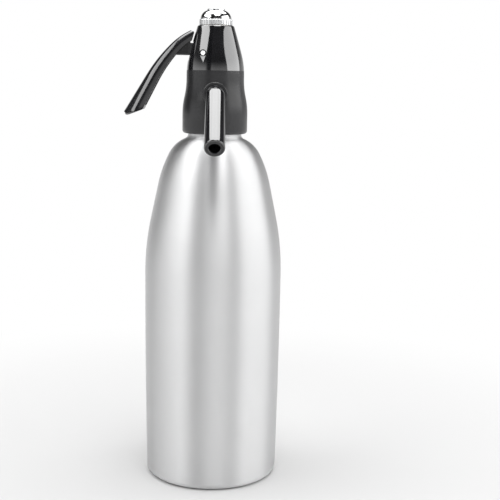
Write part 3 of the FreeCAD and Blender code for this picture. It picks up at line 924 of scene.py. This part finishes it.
@dataclass
class HeadCasing:
    """The glossy shell of the head."""

    hem_radius: float = 21.1
    bottom: float = 228.4
    bore: float = 19.0
    wall: float = 2.1
    hem_rounding: float = 2.0
    hem_height: float = 10.6
    waist_inset: float = 2.5
    waist_blend: float = 22.0
    waist_length: float = 3.0
    cheek_bend: float = 50.0
    cheek_lean: float = 15.0
    crown_radius: float = 11.9
    crown_rounding: float = 0.8
    top: float = CASING_TOP
    plate: float = 3.0
    hole_radius: float = 6.0
    skirt_top: float = 247.0
    inner_rounding: float = 0.5
    spout_height: float = SPOUT_HEIGHT
    spout_gap: float = 0.1
    collar_radius: float = 8.0
    collar_front: float = 20.1
    collar_back: float = 15.5
    collar_rounding: float = 1.0
    collar_steps: int = 5
    pin_offset: float = -PIVOT_OFFSET
    pin_height: float = PIVOT_HEIGHT
    pin_hole: float = 1.5
    recess_radius: float = 2.2
    recess_depth: float = 1.0
    satin_top: float = 268.5
    slot_half: float = 4.1
    slot_bottom: float = 274.6
    slot_top: float = 286.7
    slot_end: float = -11.4
    slot_rounding: float = 0.7
    slot_steps: int = 4

    def lower(self) -> Run:
        """Works out the outside from the hem to the waist.

        Returns:
            The outside there.
        """
        half_inset = self.waist_inset / 2
        half_blend = self.waist_blend / 2
        turn = 2 * math.degrees(math.atan2(half_inset, half_blend))
        blend = half_blend / math.sin(math.radians(turn))
        run = Run(self.hem_radius - self.hem_rounding, self.bottom, -90.0).bend(self.hem_rounding, 90.0)
        return run.straight(self.hem_height).bend(blend, turn).bend(blend, -turn)

    def cheek(self) -> Run:
        """Returns the outside from the waist to the top of the cheeks."""
        waist = Run(self.hem_radius - self.waist_inset, self.lower().end[1], 0.0)
        return waist.straight(self.waist_length).bend(self.cheek_bend, self.cheek_lean)

    def upper(self) -> Run:
        """Returns the outside from the waist to the edge of the top."""
        return self.cheek().meet(self.crown_radius, self.top - self.crown_rounding)

    def envelope(self, outset: float) -> BMesh:
        """Builds the closed form at a distance outside the crown.

        Args:
            outset: The distance, or a negative one for a form that lies under the surface.

        Returns:
            The form.
        """
        run = self.upper()
        foot = run.start[1] - self.waist_length
        profile = Profile((0.0, foot), (run.start[0] + outset, foot)).follow(run, -outset)
        return profile.through((0.0, run.end[1] + outset)).turned()

    def lever_space(self, gap: float) -> BMesh:
        """Builds a wide prism over the side that faces the lever.

        Args:
            gap: Its distance from the casing.

        Returns:
            The prism.
        """
        run = self.upper()
        profile = Profile((0.0, run.start[1])).follow(run, -gap).through((0.0, run.end[1] + gap))
        return profile.close().prism(2 * self.hem_radius)

    def pin(self, radius: float) -> BMesh:
        """Builds a bar through the casing where the pin goes.

        Args:
            radius: Its radius.

        Returns:
            The bar.
        """
        middle = Vector((self.pin_offset, 0.0, self.pin_height))
        reach = Vector((0.0, self.hem_radius, 0.0))
        return cylinder(radius, middle - reach, middle + reach, PIN_STEPS)

    def blank(self) -> Object:
        """Turns the wall, before anything is joined to it or cut in it.

        Returns:
            The wall.
        """
        cheek, upper = self.cheek(), self.upper()
        lean = upper.end[2]
        rounding = self.crown_rounding / (1 - math.sin(math.radians(lean)))
        ceiling = self.top - self.plate
        inner = Profile((0.0, 0.0)).follow(upper, self.wall).mesh
        reach = max(vert.co.x for vert in inner.verts if ceiling - STROKE_STEP < vert.co.z <= ceiling)
        inner.free()
        profile = Profile((self.bore, self.bottom + self.inner_rounding),
                          (self.bore + self.inner_rounding / 2, self.bottom))
        profile.follow(self.lower()).follow(upper).arc(lean, rounding, 90.0 - lean)
        profile.through((self.hole_radius, self.top), (self.hole_radius, ceiling), (reach, ceiling))
        profile.follow(cheek, self.wall, back=True)
        profile.through((upper.start[0] - self.wall, self.skirt_top), (self.bore, self.skirt_top))
        return drawn(profile.close().turned(), "head_casing_shell")

    def collar(self) -> BMesh:
        """Builds the collar round the spout, with a rounded front.

        Returns:
            The collar.
        """
        mesh = cylinder(self.collar_radius, Vector((0.0, -self.collar_back, self.spout_height)),
                        Vector((0.0, -self.collar_front, self.spout_height)))
        front = [edge for edge in mesh.edges
                 if all(abs(vert.co.y + self.collar_front) < TOUCHING for vert in edge.verts)]
        rounded(mesh, front, self.collar_rounding, self.collar_steps)
        return mesh

    def slot(self) -> BMesh:
        """Builds the form of the lever's slot, rounded along its length.

        Returns:
            The form.
        """
        mesh = box(Vector((-self.hem_radius, -self.slot_half, self.slot_bottom)),
                   Vector((self.slot_end, self.slot_half, self.slot_top)))
        along = [edge for edge in mesh.edges if abs(edge.verts[0].co.x - edge.verts[1].co.x) > TOUCHING]
        rounded(mesh, along, self.slot_rounding, self.slot_steps)
        return mesh

    def shell(self) -> Object:
        """Builds the wall with its spout collar, lever slot, pin holes and the wells round them.

        Returns:
            The wall.
        """
        piece = carved(self.blank(), self.collar(), Carving.JOIN)
        for tool in (Spout().bar(Spout.outer_radius + self.spout_gap), self.slot(), self.pin(self.pin_hole)):
            carved(piece, tool)
        recess = carved(drawn(self.pin(self.recess_radius), "recess"), self.envelope(-self.recess_depth))
        wells = bmesh.new()
        wells.from_mesh(recess.data)
        discarded(recess)
        return carved(piece, wells)

    def build(self) -> None:
        """Builds and dresses the casing, polished over its cheeks and satin below them and in the wells."""
        piece = dressed(self.shell(), "head", "gloss_black", ("head_casing",))
        pin = Vector((self.pin_offset * MM, self.pin_height * MM))
        well = (self.recess_radius - TOUCHING) * MM
        satined(piece, lambda face: face.center.z < self.satin_top * MM
                or (face.center.xz - pin).length < well)


@dataclass
class Spout:
    """The bent spout and its shank."""

    outer_radius: float = 6.4
    bore: float = 3.6
    height: float = SPOUT_HEIGHT
    shoulder: float = 14.0
    root: float = 3.9
    bend: float = 10.0
    lean: float = 36.0
    reach: float = 49.79
    lip: float = 0.9
    mouth_chamfer: float = 0.25
    shank_radius: float = 4.9
    shank_length: float = 6.0
    bend_steps: int = 16
    facing: float = 0.98

    def centre(self) -> Vector:
        """Returns the centre of the bend."""
        return Vector((0.0, -self.shoulder - self.root, self.height - self.bend))

    def mouth(self) -> Matrix:
        """Works out where the mouth is.

        Returns:
            Its place, with +Z out of it.
        """
        tilt = math.radians(self.lean)
        out = Vector((0.0, -math.cos(tilt), -math.sin(tilt)))
        bent = self.centre() + Vector((0.0, -math.sin(tilt), math.cos(tilt))) * self.bend
        return Matrix.Translation(bent + out * self.reach) @ UP.rotation_difference(out).to_matrix().to_4x4()

    def bent_back(self, mesh: BMesh, loop: list[BMEdge]) -> list[BMEdge]:
        """Carries open edges from the outer end of the bend to the shoulder of the shank.

        Args:
            mesh: The mesh.
            loop: The open edges.

        Returns:
            The open edges at the shoulder.
        """
        inner_end = swept(mesh, loop, cent=self.centre(), axis=(1.0, 0.0, 0.0),
                          angle=-math.radians(self.lean), steps=self.bend_steps)
        return self.carried(mesh, inner_end, Vector((0.0, self.root, 0.0)))

    def carried(self, mesh: BMesh, loop: list[BMEdge], shift: Vector, factor: float = 1.0) -> list[BMEdge]:
        """Extrudes open edges along the shank or across its shoulder.

        Args:
            mesh: The mesh.
            loop: The open edges.
            shift: How far they are moved.
            factor: How they are scaled about the shank's axis.

        Returns:
            The new open edges.
        """
        fresh, loop = extended(mesh, loop)
        verts = list(fresh)
        bmesh.ops.scale(mesh, vec=(factor, 1.0, factor), verts=verts,
                        space=Matrix.Translation((0.0, 0.0, -self.height)))
        bmesh.ops.translate(mesh, vec=shift, verts=verts)
        return loop

    def bar(self, radius: float) -> BMesh:
        """Builds a closed round bar from the mouth to the shoulder.

        Args:
            radius: Its radius.

        Returns:
            The bar.
        """
        mesh = cylinder(radius, Vector((0.0, 0.0, -self.reach)), Vector((0.0, 0.0, self.lip)))
        bmesh.ops.transform(mesh, matrix=self.mouth(), verts=mesh.verts[:])
        ends = [face for face in mesh.faces if len(face.verts) > 4]
        cap = min(ends, key=lambda face: (face.calc_center_median() - self.centre()).length)
        loop = cap.edges[:]
        bmesh.ops.delete(mesh, geom=[cap], context="FACES_ONLY")
        return capped(mesh, self.bent_back(mesh, loop))

    def tube(self) -> Object:
        """Builds the tube from its rounded lip to the end of its shank.

        Returns:
            The tube.
        """
        rim = self.outer_radius - self.lip
        profile = Profile((self.bore, -self.reach), (self.bore, -self.mouth_chamfer),
                          (self.bore + self.mouth_chamfer, 0.0), (rim, 0.0))
        profile.arc(-90.0, self.lip, -90.0).through((self.outer_radius, -self.reach))
        mesh = profile.turned(SMALL_STEPS)
        bmesh.ops.transform(mesh, matrix=self.mouth(), verts=mesh.verts[:])
        ends = self.bent_back(mesh, [edge for edge in mesh.edges if edge.is_boundary])
        axis = Vector((0.0, -self.shoulder, self.height))
        middle = (self.bore + self.outer_radius) / 2
        outer = [edge for edge in ends if (edge.verts[0].co - axis).length > middle]
        inner = [edge for edge in ends if edge not in outer]
        back = Vector((0.0, self.shank_length, 0.0))
        outer = self.carried(mesh, outer, Vector(), self.shank_radius / self.outer_radius)
        shank = self.carried(mesh, outer, back) + self.carried(mesh, inner, back)
        bmesh.ops.bridge_loops(mesh, edges=shank)
        return drawn(outwards(mesh), "spout_tube")

    def build(self) -> None:
        """Builds and dresses the spout, with a satin mouth."""
        piece = dressed(self.tube(), "head", "spout_black", ("spout",))
        out = self.mouth().col[2].xyz
        satined(piece, lambda face: face.normal.dot(out) > self.facing and face.center.y < -self.reach * MM)


@dataclass
class PivotPin:
    """The ground pin that the lever turns on."""

    radius: float = 1.45
    sink: float = 0.3

    def build(self) -> None:
        """Builds and dresses the pin, with ends that follow the casing."""
        casing = HeadCasing()
        pin = drawn(casing.pin(self.radius), "pivot_pin_ground")
        dressed(carved(pin, casing.envelope(-self.sink), Carving.KEEP), "head", "steel", ("pivot_pin",))


@dataclass
class ValveSpring:
    """The coil spring that closes the valve, with a closed coil at each end."""

    radius: float = 3.9
    wire: float = 0.45
    wire_steps: int = 16
    open_coils: float = 4.1
    closed_coils: float = 0.9
    land: float = 0.02
    travel: float = 2.52

    def build(self) -> None:
        """Builds and dresses the spring."""
        bottom, top = (corner[2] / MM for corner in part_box("valve_spring"))
        mesh = bmesh.new()
        half = self.wire + self.land
        start = Matrix.Translation((self.radius, 0.0, bottom + half))
        bmesh.ops.create_circle(mesh, segments=self.wire_steps, radius=self.wire,
                                matrix=start @ Matrix.Rotation(math.pi / 2, 4, "X"))
        closed = self.closed_coils, 2 * self.closed_coils * half
        opened = self.open_coils, top - bottom - 2 * (half + closed[1])
        wound(mesh, (closed, opened, closed))
        piece = dressed(drawn(mesh, "valve_spring_coil"), "valve", "steel", ("valve_spring",))
        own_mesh(piece)


# ---------------------------------------------------------------- lever

@dataclass
class Lever:
    """The moulded lever: a crowned hollow blade, a web, and the fork inside the head.

    A spot of the blade is a share of the way from the heel to the tip and a share of the half width.
    """

    pivot_offset: float = PIVOT_OFFSET
    pivot_height: float = PIVOT_HEIGHT
    heel_offset: float = 6.2
    heel_rise: float = 15.3
    heel_lean: float = 22.0
    heel_bend: float = 44.0
    heel_turn: float = 22.0
    palm_bend: float = 102.0
    palm_turn: float = 14.5
    palm_straight: float = 32.9
    heel_width: float = 10.0
    palm_width: float = 22.0
    crown_drop: float = 6.5
    heel_depth: float = 5.6
    palm_depth: float = 10.8
    wall: float = 2.0
    corner: float = 8.0
    end_lean: float = 52.7
    heel_rounding: float = 3.4
    palm_rounding: float = 8.4
    tip_blend: float = 4.0
    heel_gap: float = 0.9
    web_width: float = 7.4
    web_bottom: float = 278.2
    web_top: float = 285.8
    web_shoulder: float = 4.8
    panel_border: float = 1.3
    panel_depth: float = 1.1
    hub_radius: float = 3.4
    prong_inside: float = 1.9
    prong_width: float = 2.6
    prong_half: float = 2.8
    rows: int = 72
    columns: int = 22
    levels: int = 6
    edge_steps: int = 8
    corner_share: float = 0.72
    inward: float = 0.5

    def crest(self) -> Run:
        """Works out the crest of the blade.

        Returns:
            The crest, whose radius is the distance towards -X.
        """
        heel = Run(self.pivot_offset + self.heel_offset, self.pivot_height + self.heel_rise,
                   -90.0 - self.heel_lean)
        heel.bend(self.heel_bend, -self.heel_turn).bend(self.palm_bend, -self.palm_turn)
        return heel.straight(self.palm_straight)

    def place(self, share: float, across: float, inset: float) -> Vector:
        """Finds a point of the blade straightened out: X along the crest, Y across, Z down into the blade.

        Args:
            share: Share of the way from the heel to the tip.
            across: Share of the half width.
            inset: Distance inside the outline.

        Returns:
            The point.
        """
        length = self.crest().length()
        taper = math.atan((self.palm_width - self.heel_width) / 2 / length)
        corner = self.corner - inset
        centre = length - self.corner
        if share < self.corner_share:
            end = centre - corner * math.sin(taper)
            station = inset + (end - inset) * share / self.corner_share
            half = self.half_width(station) - inset / math.cos(taper)
        else:
            turned = (share - self.corner_share) / (1 - self.corner_share)
            angle = -taper + (math.pi / 2 + taper) * turned
            station = centre + corner * math.sin(angle)
            widest = self.half_width(centre - self.corner * math.sin(taper))
            half = widest - self.corner * math.cos(taper) + corner * math.cos(angle)
        aside = half * across
        return Vector((station, aside, self.crown_drop * (2 * aside / self.palm_width) ** 2))

    def half_width(self, station: float) -> float:
        """Returns half the blade's width at a station along its crest, before its corners are rounded."""
        share = station / self.crest().length()
        return (self.heel_width + (self.palm_width - self.heel_width) * share) / 2

    def bent(self, point: Vector, inset: float) -> Vector:
        """Cuts a point back to the bevelled end and bends it along the crest.

        Args:
            point: A point of the blade straightened out.
            inset: Its distance inside the outline.

        Returns:
            Its place in the object.
        """
        crest = self.crest()
        bevel = math.radians(self.end_lean)
        limit = crest.length() - inset / math.cos(bevel) - point.z * math.tan(bevel)
        blend = max(self.tip_blend - abs(point.x - limit), 0.0) / self.tip_blend
        station = min(point.x, limit) - blend * blend * self.tip_blend / 4
        radius, height = Run.inside(crest.at(max(station, 0.0)), -point.z)
        return Vector((-radius, point.y, height))

    def edge_lean(self, share: float, across: float) -> float:
        """Works out how far the crown already leans outwards at its edge.

        Args:
            share: Share of the way from the heel to the tip.
            across: Share of the half width.

        Returns:
            The lean in radians, or 0 away from the edge.
        """
        if abs(across) < 1 - TOUCHING:
            return 0.0
        past = max(share - self.corner_share, 0.0) / (1 - self.corner_share)
        half = self.place(share, 1.0, 0.0).y
        slope = 8 * self.crown_drop * half / self.palm_width ** 2
        return math.atan(slope * math.cos(math.pi / 2 * past))

    def rounding(self, share: float) -> float:
        """Returns the rounding of the blade's edges at a share of the way along it."""
        return self.heel_rounding + (self.palm_rounding - self.heel_rounding) * share

    def skin(self, mesh: BMesh, inset: float) -> list[BMEdge]:
        """Draws one skin of the blade, from its crest down over its sides.

        Args:
            mesh: The mesh to draw in.
            inset: Distance inside the outline; only the outer skin has rounded edges.

        Returns:
            The open edges at the foot of the sides.
        """
        grid = bmesh.ops.create_grid(mesh, x_segments=self.rows, y_segments=self.columns, size=1.0)["verts"]
        spots = {vert: ((vert.co.x + 1) / 2, vert.co.y) for vert in grid}
        flat = {}
        for vert, (share, across) in spots.items():
            edge = 0.0 if inset else self.rounding(share) * (1 - math.sin(self.edge_lean(share, 1.0)))
            flat[vert] = self.place(share, across, inset + edge) + UP * inset
        loop = [edge for edge in mesh.edges if edge.is_boundary and edge.verts[0] in spots]
        brim = {vert: flat[vert].z for edge in loop for vert in edge.verts}
        turns = 0 if inset else self.edge_steps
        for level in range(1, turns + self.levels + 1):
            fresh, loop = extended(mesh, loop)
            for vert in fresh:
                others = (edge.other_vert(vert) for edge in vert.link_edges)
                above = next(other for other in others if other not in fresh)
                spots[vert], brim[vert] = spots[above], brim[above]
                lean = self.edge_lean(*spots[vert])
                rounding = self.rounding(spots[vert][0]) if turns else 0.0
                angle = lean + (math.pi / 2 - lean) * (min(level / turns, 1.0) if turns else 1.0)
                point = self.place(*spots[vert], inset + rounding * (1 - math.sin(angle)))
                point.z = brim[vert] + rounding * (math.cos(lean) - math.cos(angle))
                point.z += (self.foot(point.x, inset) - point.z) * max(level - turns, 0) / self.levels
                flat[vert] = point
        for vert, point in flat.items():
            vert.co = self.bent(point, inset)
        return loop

    def foot(self, station: float, inset: float) -> float:
        """Finds the depth of the blade's sides, which is level past the bevelled end.

        Args:
            station: Distance along the crest.
            inset: Distance inside the outline.

        Returns:
            The depth under the crest.
        """
        length = self.crest().length()
        bevel = math.radians(self.end_lean)
        growth = (self.palm_depth - self.heel_depth) / length
        left = length - inset / math.cos(bevel) - self.heel_depth * math.tan(bevel)
        return self.heel_depth + growth * min(station, left / (1 + growth * math.tan(bevel)))

    def blade(self) -> Object:
        """Builds the hollow blade, clear of the casing.

        Returns:
            The blade.
        """
        mesh = bmesh.new()
        feet = self.skin(mesh, 0.0) + self.skin(mesh, self.wall)
        bmesh.ops.bridge_loops(mesh, edges=feet)
        return carved(drawn(outwards(mesh), "lever_blade"), HeadCasing().lever_space(self.heel_gap))

    def limb(self, depth: float, heel: float, bottom: float) -> list[Point]:
        """Lists points at a depth under the crest, from the tip's side to the heel's.

        Args:
            depth: The depth.
            heel: Least distance from the axis.
            bottom: Least height.

        Returns:
            The points.
        """
        crest = self.crest()
        shares = (step / self.rows for step in range(self.rows, -1, -1))
        points = (Run.inside(crest.at(crest.length() * share), -depth) for share in shares)
        return [(radius, height) for radius, height in points if radius > heel and height > bottom]

    def web(self) -> Object:
        """Builds the web that joins the blade to the hub, with a sunk panel on each side.

        Returns:
            The web.
        """
        heel = self.pivot_offset + self.heel_offset + self.wall
        shoulder = self.pivot_offset + self.web_shoulder
        limb = self.limb(self.wall / 2, heel, self.web_bottom)
        profile = Profile((self.pivot_offset, self.pivot_height - self.hub_radius),
                          (shoulder, self.web_bottom), (limb[0][0], self.web_bottom), *limb,
                          (heel, self.web_top), (shoulder, self.web_top),
                          (self.pivot_offset, self.pivot_height + self.hub_radius))
        piece = drawn(profile.close().prism(self.web_width), "lever_web")
        heel, low = heel + self.panel_border, self.web_bottom + self.panel_border
        inner = self.limb(self.wall + self.panel_border, heel, low)
        for side in (-1.0, 1.0):
            sunk = Profile((heel, low), (inner[0][0], low), *inner).close().prism(2 * self.panel_depth)
            bmesh.ops.translate(sunk, verts=sunk.verts[:], vec=(0.0, side * self.web_width / 2, 0.0))
            carved(piece, sunk)
        return piece

    def fork(self) -> Object:
        """Builds the hub and the two prongs round the valve stem.

        Returns:
            The fork.
        """
        outside = self.prong_inside + self.prong_width
        hub = Vector((-self.pivot_offset, 0.0, self.pivot_height))
        stem = Vector((0.0, 0.0, self.pivot_height))
        across = Vector((0.0, outside, 0.0))
        rise = UP * self.prong_half
        piece = drawn(cylinder(self.hub_radius, hub - across, hub + across), "lever_fork")
        for side in (-1.0, 1.0):
            near = Vector((0.0, side * self.prong_inside, 0.0))
            far = Vector((0.0, side * outside, 0.0))
            carved(piece, cylinder(self.prong_half, stem + near, stem + far), Carving.JOIN)
            carved(piece, box(hub + near - rise, stem + far + rise), Carving.JOIN)
        return piece

    def hollow(self, face: MeshPolygon) -> bool:
        """Returns whether a face looks into the hollow under the blade."""
        under = face.normal.x - face.normal.z > self.inward
        return under or (face.center.y * face.normal.y < 0.0 and abs(face.normal.y) > self.inward)

    def build(self) -> None:
        """Builds and dresses the lever's pieces, polished outside and satin inside."""
        satined(dressed(self.blade(), "lever", "lever_black", ("lever",)), self.hollow)
        for part in (self.web(), self.fork()):
            satined(dressed(part, "lever", "lever_black"), lambda face: True)


# ---------------------------------------------------------------- cap

@dataclass
class TopCap:
    """The chrome cap with its fluted foot, its dome and the low disc on top."""

    radius: float = 10.65
    flutes: int = 36
    flute_depth: float = 0.45
    flute_height: float = 3.6
    flute_steps: int = 8
    flute_power: float = 0.7
    chamfer: float = 0.3
    bottom: float = CASING_TOP + 0.1
    dome_step: float = 0.65
    dome_rise: float = 5.8
    dome_steps: int = 14
    disc_radius: float = 5.6
    disc_rise: float = 0.9
    disc_rounding: float = 0.2
    disc_shares: tuple[float, ...] = (0.35, 0.5, 0.65, 0.8, 0.9, 1.0)
    mouth_radius: float = 9.1
    mouth_height: float = 1.8
    bore: float = 7.6
    ceiling: float = CASING_TOP + 8.0
    sharp: float = 28.0
    thread: Thread = Thread(8.0, 6.8, 2.0, 1.35, CASING_TOP + 2.6, 180.0)

    def rings(self, mesh: BMesh, loop: list[BMEdge], points: Iterable[Point],
              fluted: bool = False) -> list[BMEdge]:
        """Extrudes a loop from point to point.

        Args:
            mesh: The mesh.
            loop: The open loop.
            points: The radius and the height of each new loop.
            fluted: Whether the new loops have flutes.

        Returns:
            The last loop.
        """
        for radius, height in points:
            fresh, loop = extended(mesh, loop)
            for vert in fresh:
                self.set_out(vert, radius, height, fluted)
        return loop

    def set_out(self, vert: BMVert, radius: float, height: float, fluted: bool) -> None:
        """Moves a vertex, sunk where a flute is.

        Args:
            vert: The vertex.
            radius: Its new radius.
            height: Its new height.
            fluted: Whether there are flutes.
        """
        angle = math.atan2(vert.co.y, vert.co.x) % math.tau
        phase = angle / math.tau * self.flutes % 1.0
        if fluted and phase > 0.5:
            radius -= self.flute_depth * max(0.0, math.sin((phase - 0.5) * math.tau)) ** self.flute_power
        vert.co = (radius * math.cos(angle), radius * math.sin(angle), height)

    def shell(self) -> Object:
        """Builds the cap as one closed wall.

        Returns:
            The wall.
        """
        mesh = bmesh.new()
        bmesh.ops.create_circle(mesh, segments=self.flutes * self.flute_steps, radius=self.mouth_radius)
        for vert in mesh.verts:
            self.set_out(vert, self.mouth_radius, self.bottom, False)
        mouth = mesh.edges[:]
        top = self.bottom + self.flute_height
        narrow = self.radius - self.chamfer
        loop = self.rings(mesh, mouth, ((narrow, self.bottom), (self.radius, self.bottom + self.chamfer),
                                        (self.radius, top - self.chamfer), (narrow, top)), True)
        dome = Run(self.radius - self.dome_step, top, 0.0).meet(self.disc_radius, top + self.dome_rise)
        disc = Run(self.disc_radius, top + self.dome_rise, 0.0).straight(self.disc_rise - self.disc_rounding)
        disc.bend(self.disc_rounding, 90.0)
        places = [dome.at(dome.length() * step / self.dome_steps) for step in range(self.dome_steps + 1)]
        places += [disc.at(disc.length() * share) for share in self.disc_shares]
        loop = self.rings(mesh, loop, (place[:2] for place in places))
        loop = self.rings(mesh, loop, ((self.disc_radius / 2, disc.end[1]),))
        ledge = self.bottom + self.mouth_height
        inside = self.rings(mesh, mouth, ((self.mouth_radius, ledge), (self.bore, ledge),
                                          (self.bore, self.ceiling)))
        return drawn(capped(mesh, loop, inside), "top_cap_shell")

    def build(self) -> None:
        """Builds and dresses the cap's pieces, with a satin shine in the flutes."""
        piece = dressed(self.shell(), "cap", "chrome", ("top_cap",), self.sharp)
        foot = (self.radius - self.dome_step) * MM
        top = (self.bottom + self.flute_height) * MM
        satined(piece, lambda face: face.center.z < top and face.center.xy.length > foot, FLUTED)
        dressed(drawn(self.thread.ridge(), "top_cap_thread"), "cap", "chrome")


# ---------------------------------------------------------------- stage

def grey(level: float) -> tuple[float, float, float, float]:
    """Returns a grey."""
    return level, level, level, 1.0


@dataclass(frozen=True)
class Lamp:
    """One soft panel of light, in metres and degrees."""

    name: str
    azimuth: float
    elevation: float
    distance: float
    size: Point
    radiance: float
    roll: float = 0.0

    def build(self, target: Vector) -> None:
        """Builds the lamp.

        Args:
            target: The point that it is aimed at.
        """
        turn = math.radians(self.azimuth)
        rise = math.radians(self.elevation)
        away = Vector((math.sin(turn) * math.cos(rise), -math.cos(turn) * math.cos(rise), math.sin(rise)))
        light = bpy.data.lights.new(self.name, "AREA")
        light.shape = "RECTANGLE"
        light.size, light.size_y = self.size
        light.energy = self.radiance * self.size[0] * self.size[1] * math.pi
        lamp = linked(self.name, light)
        lamp.location = target + away * self.distance
        lamp.rotation_euler = (away.to_track_quat("Z", "Y").to_matrix()
                               @ Matrix.Rotation(math.radians(self.roll), 3, "Z")).to_euler()
        lamp.visible_camera = False


@dataclass
class Studio:
    """The floor, the lamps, the world and the camera, in metres and degrees.

    Angles about Z are 0 at the front, towards -Y, and 90 at the right. The bands are levels of grey at them.
    """

    target: Place = (0.0, 0.0, 0.24)
    lamps: tuple[Lamp, ...] = (
        Lamp("left_panel", -78.0, 39.0, 1.0, (1.1, 0.44), 2.9, -14.0),
        Lamp("left_upper_panel", -78.0, 64.0, 1.0, (0.4, 0.35), 2.2),
        Lamp("right_panel", 81.0, 22.0, 1.0, (1.26, 0.64), 2.1),
        Lamp("front_panel", 15.0, 67.0, 0.9, (0.46, 0.6), 5.2),
        Lamp("ceiling_panel", 180.0, 72.0, 0.62, (0.84, 0.36), 3.8),
    )
    bands: tuple[Point, ...] = (
        (-180, 0.7), (-152, 0.7), (-140, 0.2), (-120, 0.2), (-104, 0.9), (-64, 0.9), (-44, 0.9), (-30, 0.05),
        (-21, 0.05), (-15, 0.66), (0, 0.56), (20, 0.56), (28, 0.6), (97, 0.48), (125, 0.5), (180, 0.5),
    )
    bands_fade: Point = (0.06, 0.36)
    bands_above: float = 0.05
    zenith_fade: Point = (0.86, 0.93)
    zenith: float = 0.6
    fill: float = 0.3
    floor_radius: float = 6.0
    floor_level: float = 0.64
    floor_roughness: float = 0.9
    floor_fade: Point = (0.06, 0.42)
    lens: float = 72.2
    sensor: float = 36.0
    camera_place: Place = (0.0, -0.659, 0.261)
    yaw: float = -2.12
    pitch: float = -9.44
    roll: float = 1.0

    def floor(self) -> None:
        """Builds the pale floor, which fades into the background away from the object."""
        mesh = bmesh.new()
        bmesh.ops.create_circle(mesh, cap_ends=True, segments=SMALL_STEPS, radius=self.floor_radius)
        plane = drawn(mesh, "floor")
        surface = Surface("pale_floor")
        surface.set(Base_Color=grey(self.floor_level), Roughness=self.floor_roughness)
        far = surface.node("VectorMath", surface.place, operation="LENGTH")
        fade = surface.ranged(far.outputs["Value"], *self.floor_fade, smooth=True)
        path = surface.node("LightPath").outputs
        direct = surface.node("Math", path["Is Camera Ray"], path["Is Glossy Ray"], operation="MAXIMUM")
        seen = surface.node("Math", fade, direct.outputs[0], operation="MULTIPLY")
        white = surface.node("Emission")
        mixed = surface.node("MixShader", seen.outputs[0], surface.shader.outputs[0], white.outputs[0])
        surface.put(surface.tree.nodes["Material Output"].inputs["Surface"], mixed.outputs[0])
        plane.data.materials.append(surface.material)

    def world(self) -> None:
        """Builds the world: white where it is seen, a plain fill, and soft bands for shiny surfaces."""
        world = bpy.data.worlds.new("studio")
        bpy.context.scene.world = world
        world.use_nodes = True
        world.node_tree.nodes.clear()
        graph = Graph(world.node_tree, "Generated")
        split = graph.node("SeparateXYZ", graph.place).outputs
        front = graph.node("Math", split["Y"], -1.0, operation="MULTIPLY")
        turn = graph.node("Math", split["X"], front.outputs[0], operation="ARCTAN2")
        ramp = graph.node("ValToRGB", graph.ranged(turn.outputs[0], -math.pi, math.pi))
        ramp.color_ramp.interpolation = "EASE"
        stops = ramp.color_ramp.elements
        while len(stops) < len(self.bands):
            stops.new(0.5)
        for stop, (angle, level) in zip(stops, self.bands):
            stop.position = (angle + 180) / 360
            stop.color = grey(level)
        height = graph.ranged(split["Z"], *self.bands_fade, 1.0, self.bands_above, smooth=True)
        above = graph.ranged(split["Z"], *self.zenith_fade, smooth=True)
        bands = graph.mix(1.0, ramp.outputs["Color"], height, "MULTIPLY")
        path = graph.node("LightPath").outputs
        shiny = graph.mix(path["Is Glossy Ray"], grey(self.fill), graph.mix(above, bands, grey(self.zenith)))
        background = graph.node("Background", graph.mix(path["Is Camera Ray"], shiny, grey(1.0)))
        graph.node("OutputWorld", background.outputs[0])

    def camera(self) -> None:
        """Builds the camera."""
        data = bpy.data.cameras.new("camera")
        data.sensor_width = data.sensor_height = self.sensor
        data.sensor_fit = "HORIZONTAL"
        data.lens = self.lens
        camera = linked("camera", data)
        camera.location = self.camera_place
        yaw, pitch, roll = (math.radians(angle) for angle in (self.yaw, 90.0 + self.pitch, self.roll))
        camera.rotation_euler = (Matrix.Rotation(yaw, 4, "Z") @ Matrix.Rotation(pitch, 4, "X")
                                 @ Matrix.Rotation(roll, 4, "Z")).to_euler()
        bpy.context.scene.camera = camera

    def build(self) -> None:
        """Builds the whole stage."""
        self.camera()
        self.world()
        self.floor()
        for lamp in self.lamps:
            lamp.build(Vector(self.target))
        bpy.context.scene.view_settings.view_transform = "Standard"


def finish_nodes() -> None:
    """Gives every node of the frame its finish."""
    for row in frame["record"]["subparts"]:
        node = frame["nodes"][row["node"]]
        node.data.materials.clear()
        node.data.materials.append(MATERIALS[row["material_slot"]])
        LOG.info("%s: %s", row["node"], row["material_slot"])


def main() -> None:
    """Builds the siphon and its stage in order."""
    logging.basicConfig(level=logging.INFO, format="%(name)s %(message)s")
    for slot, finish in (*FINISHES.items(), (SATIN.name, SATIN), (FLUTED.name, FLUTED)):
        MATERIALS[slot] = finish.made()
    Studio().build()
    finish_nodes()
    for part in (Bottle(), HeadCasing(), Spout(), PivotPin(), ValveSpring(), Lever(), TopCap()):
        part.build()


if __name__ == "__main__":
    main()
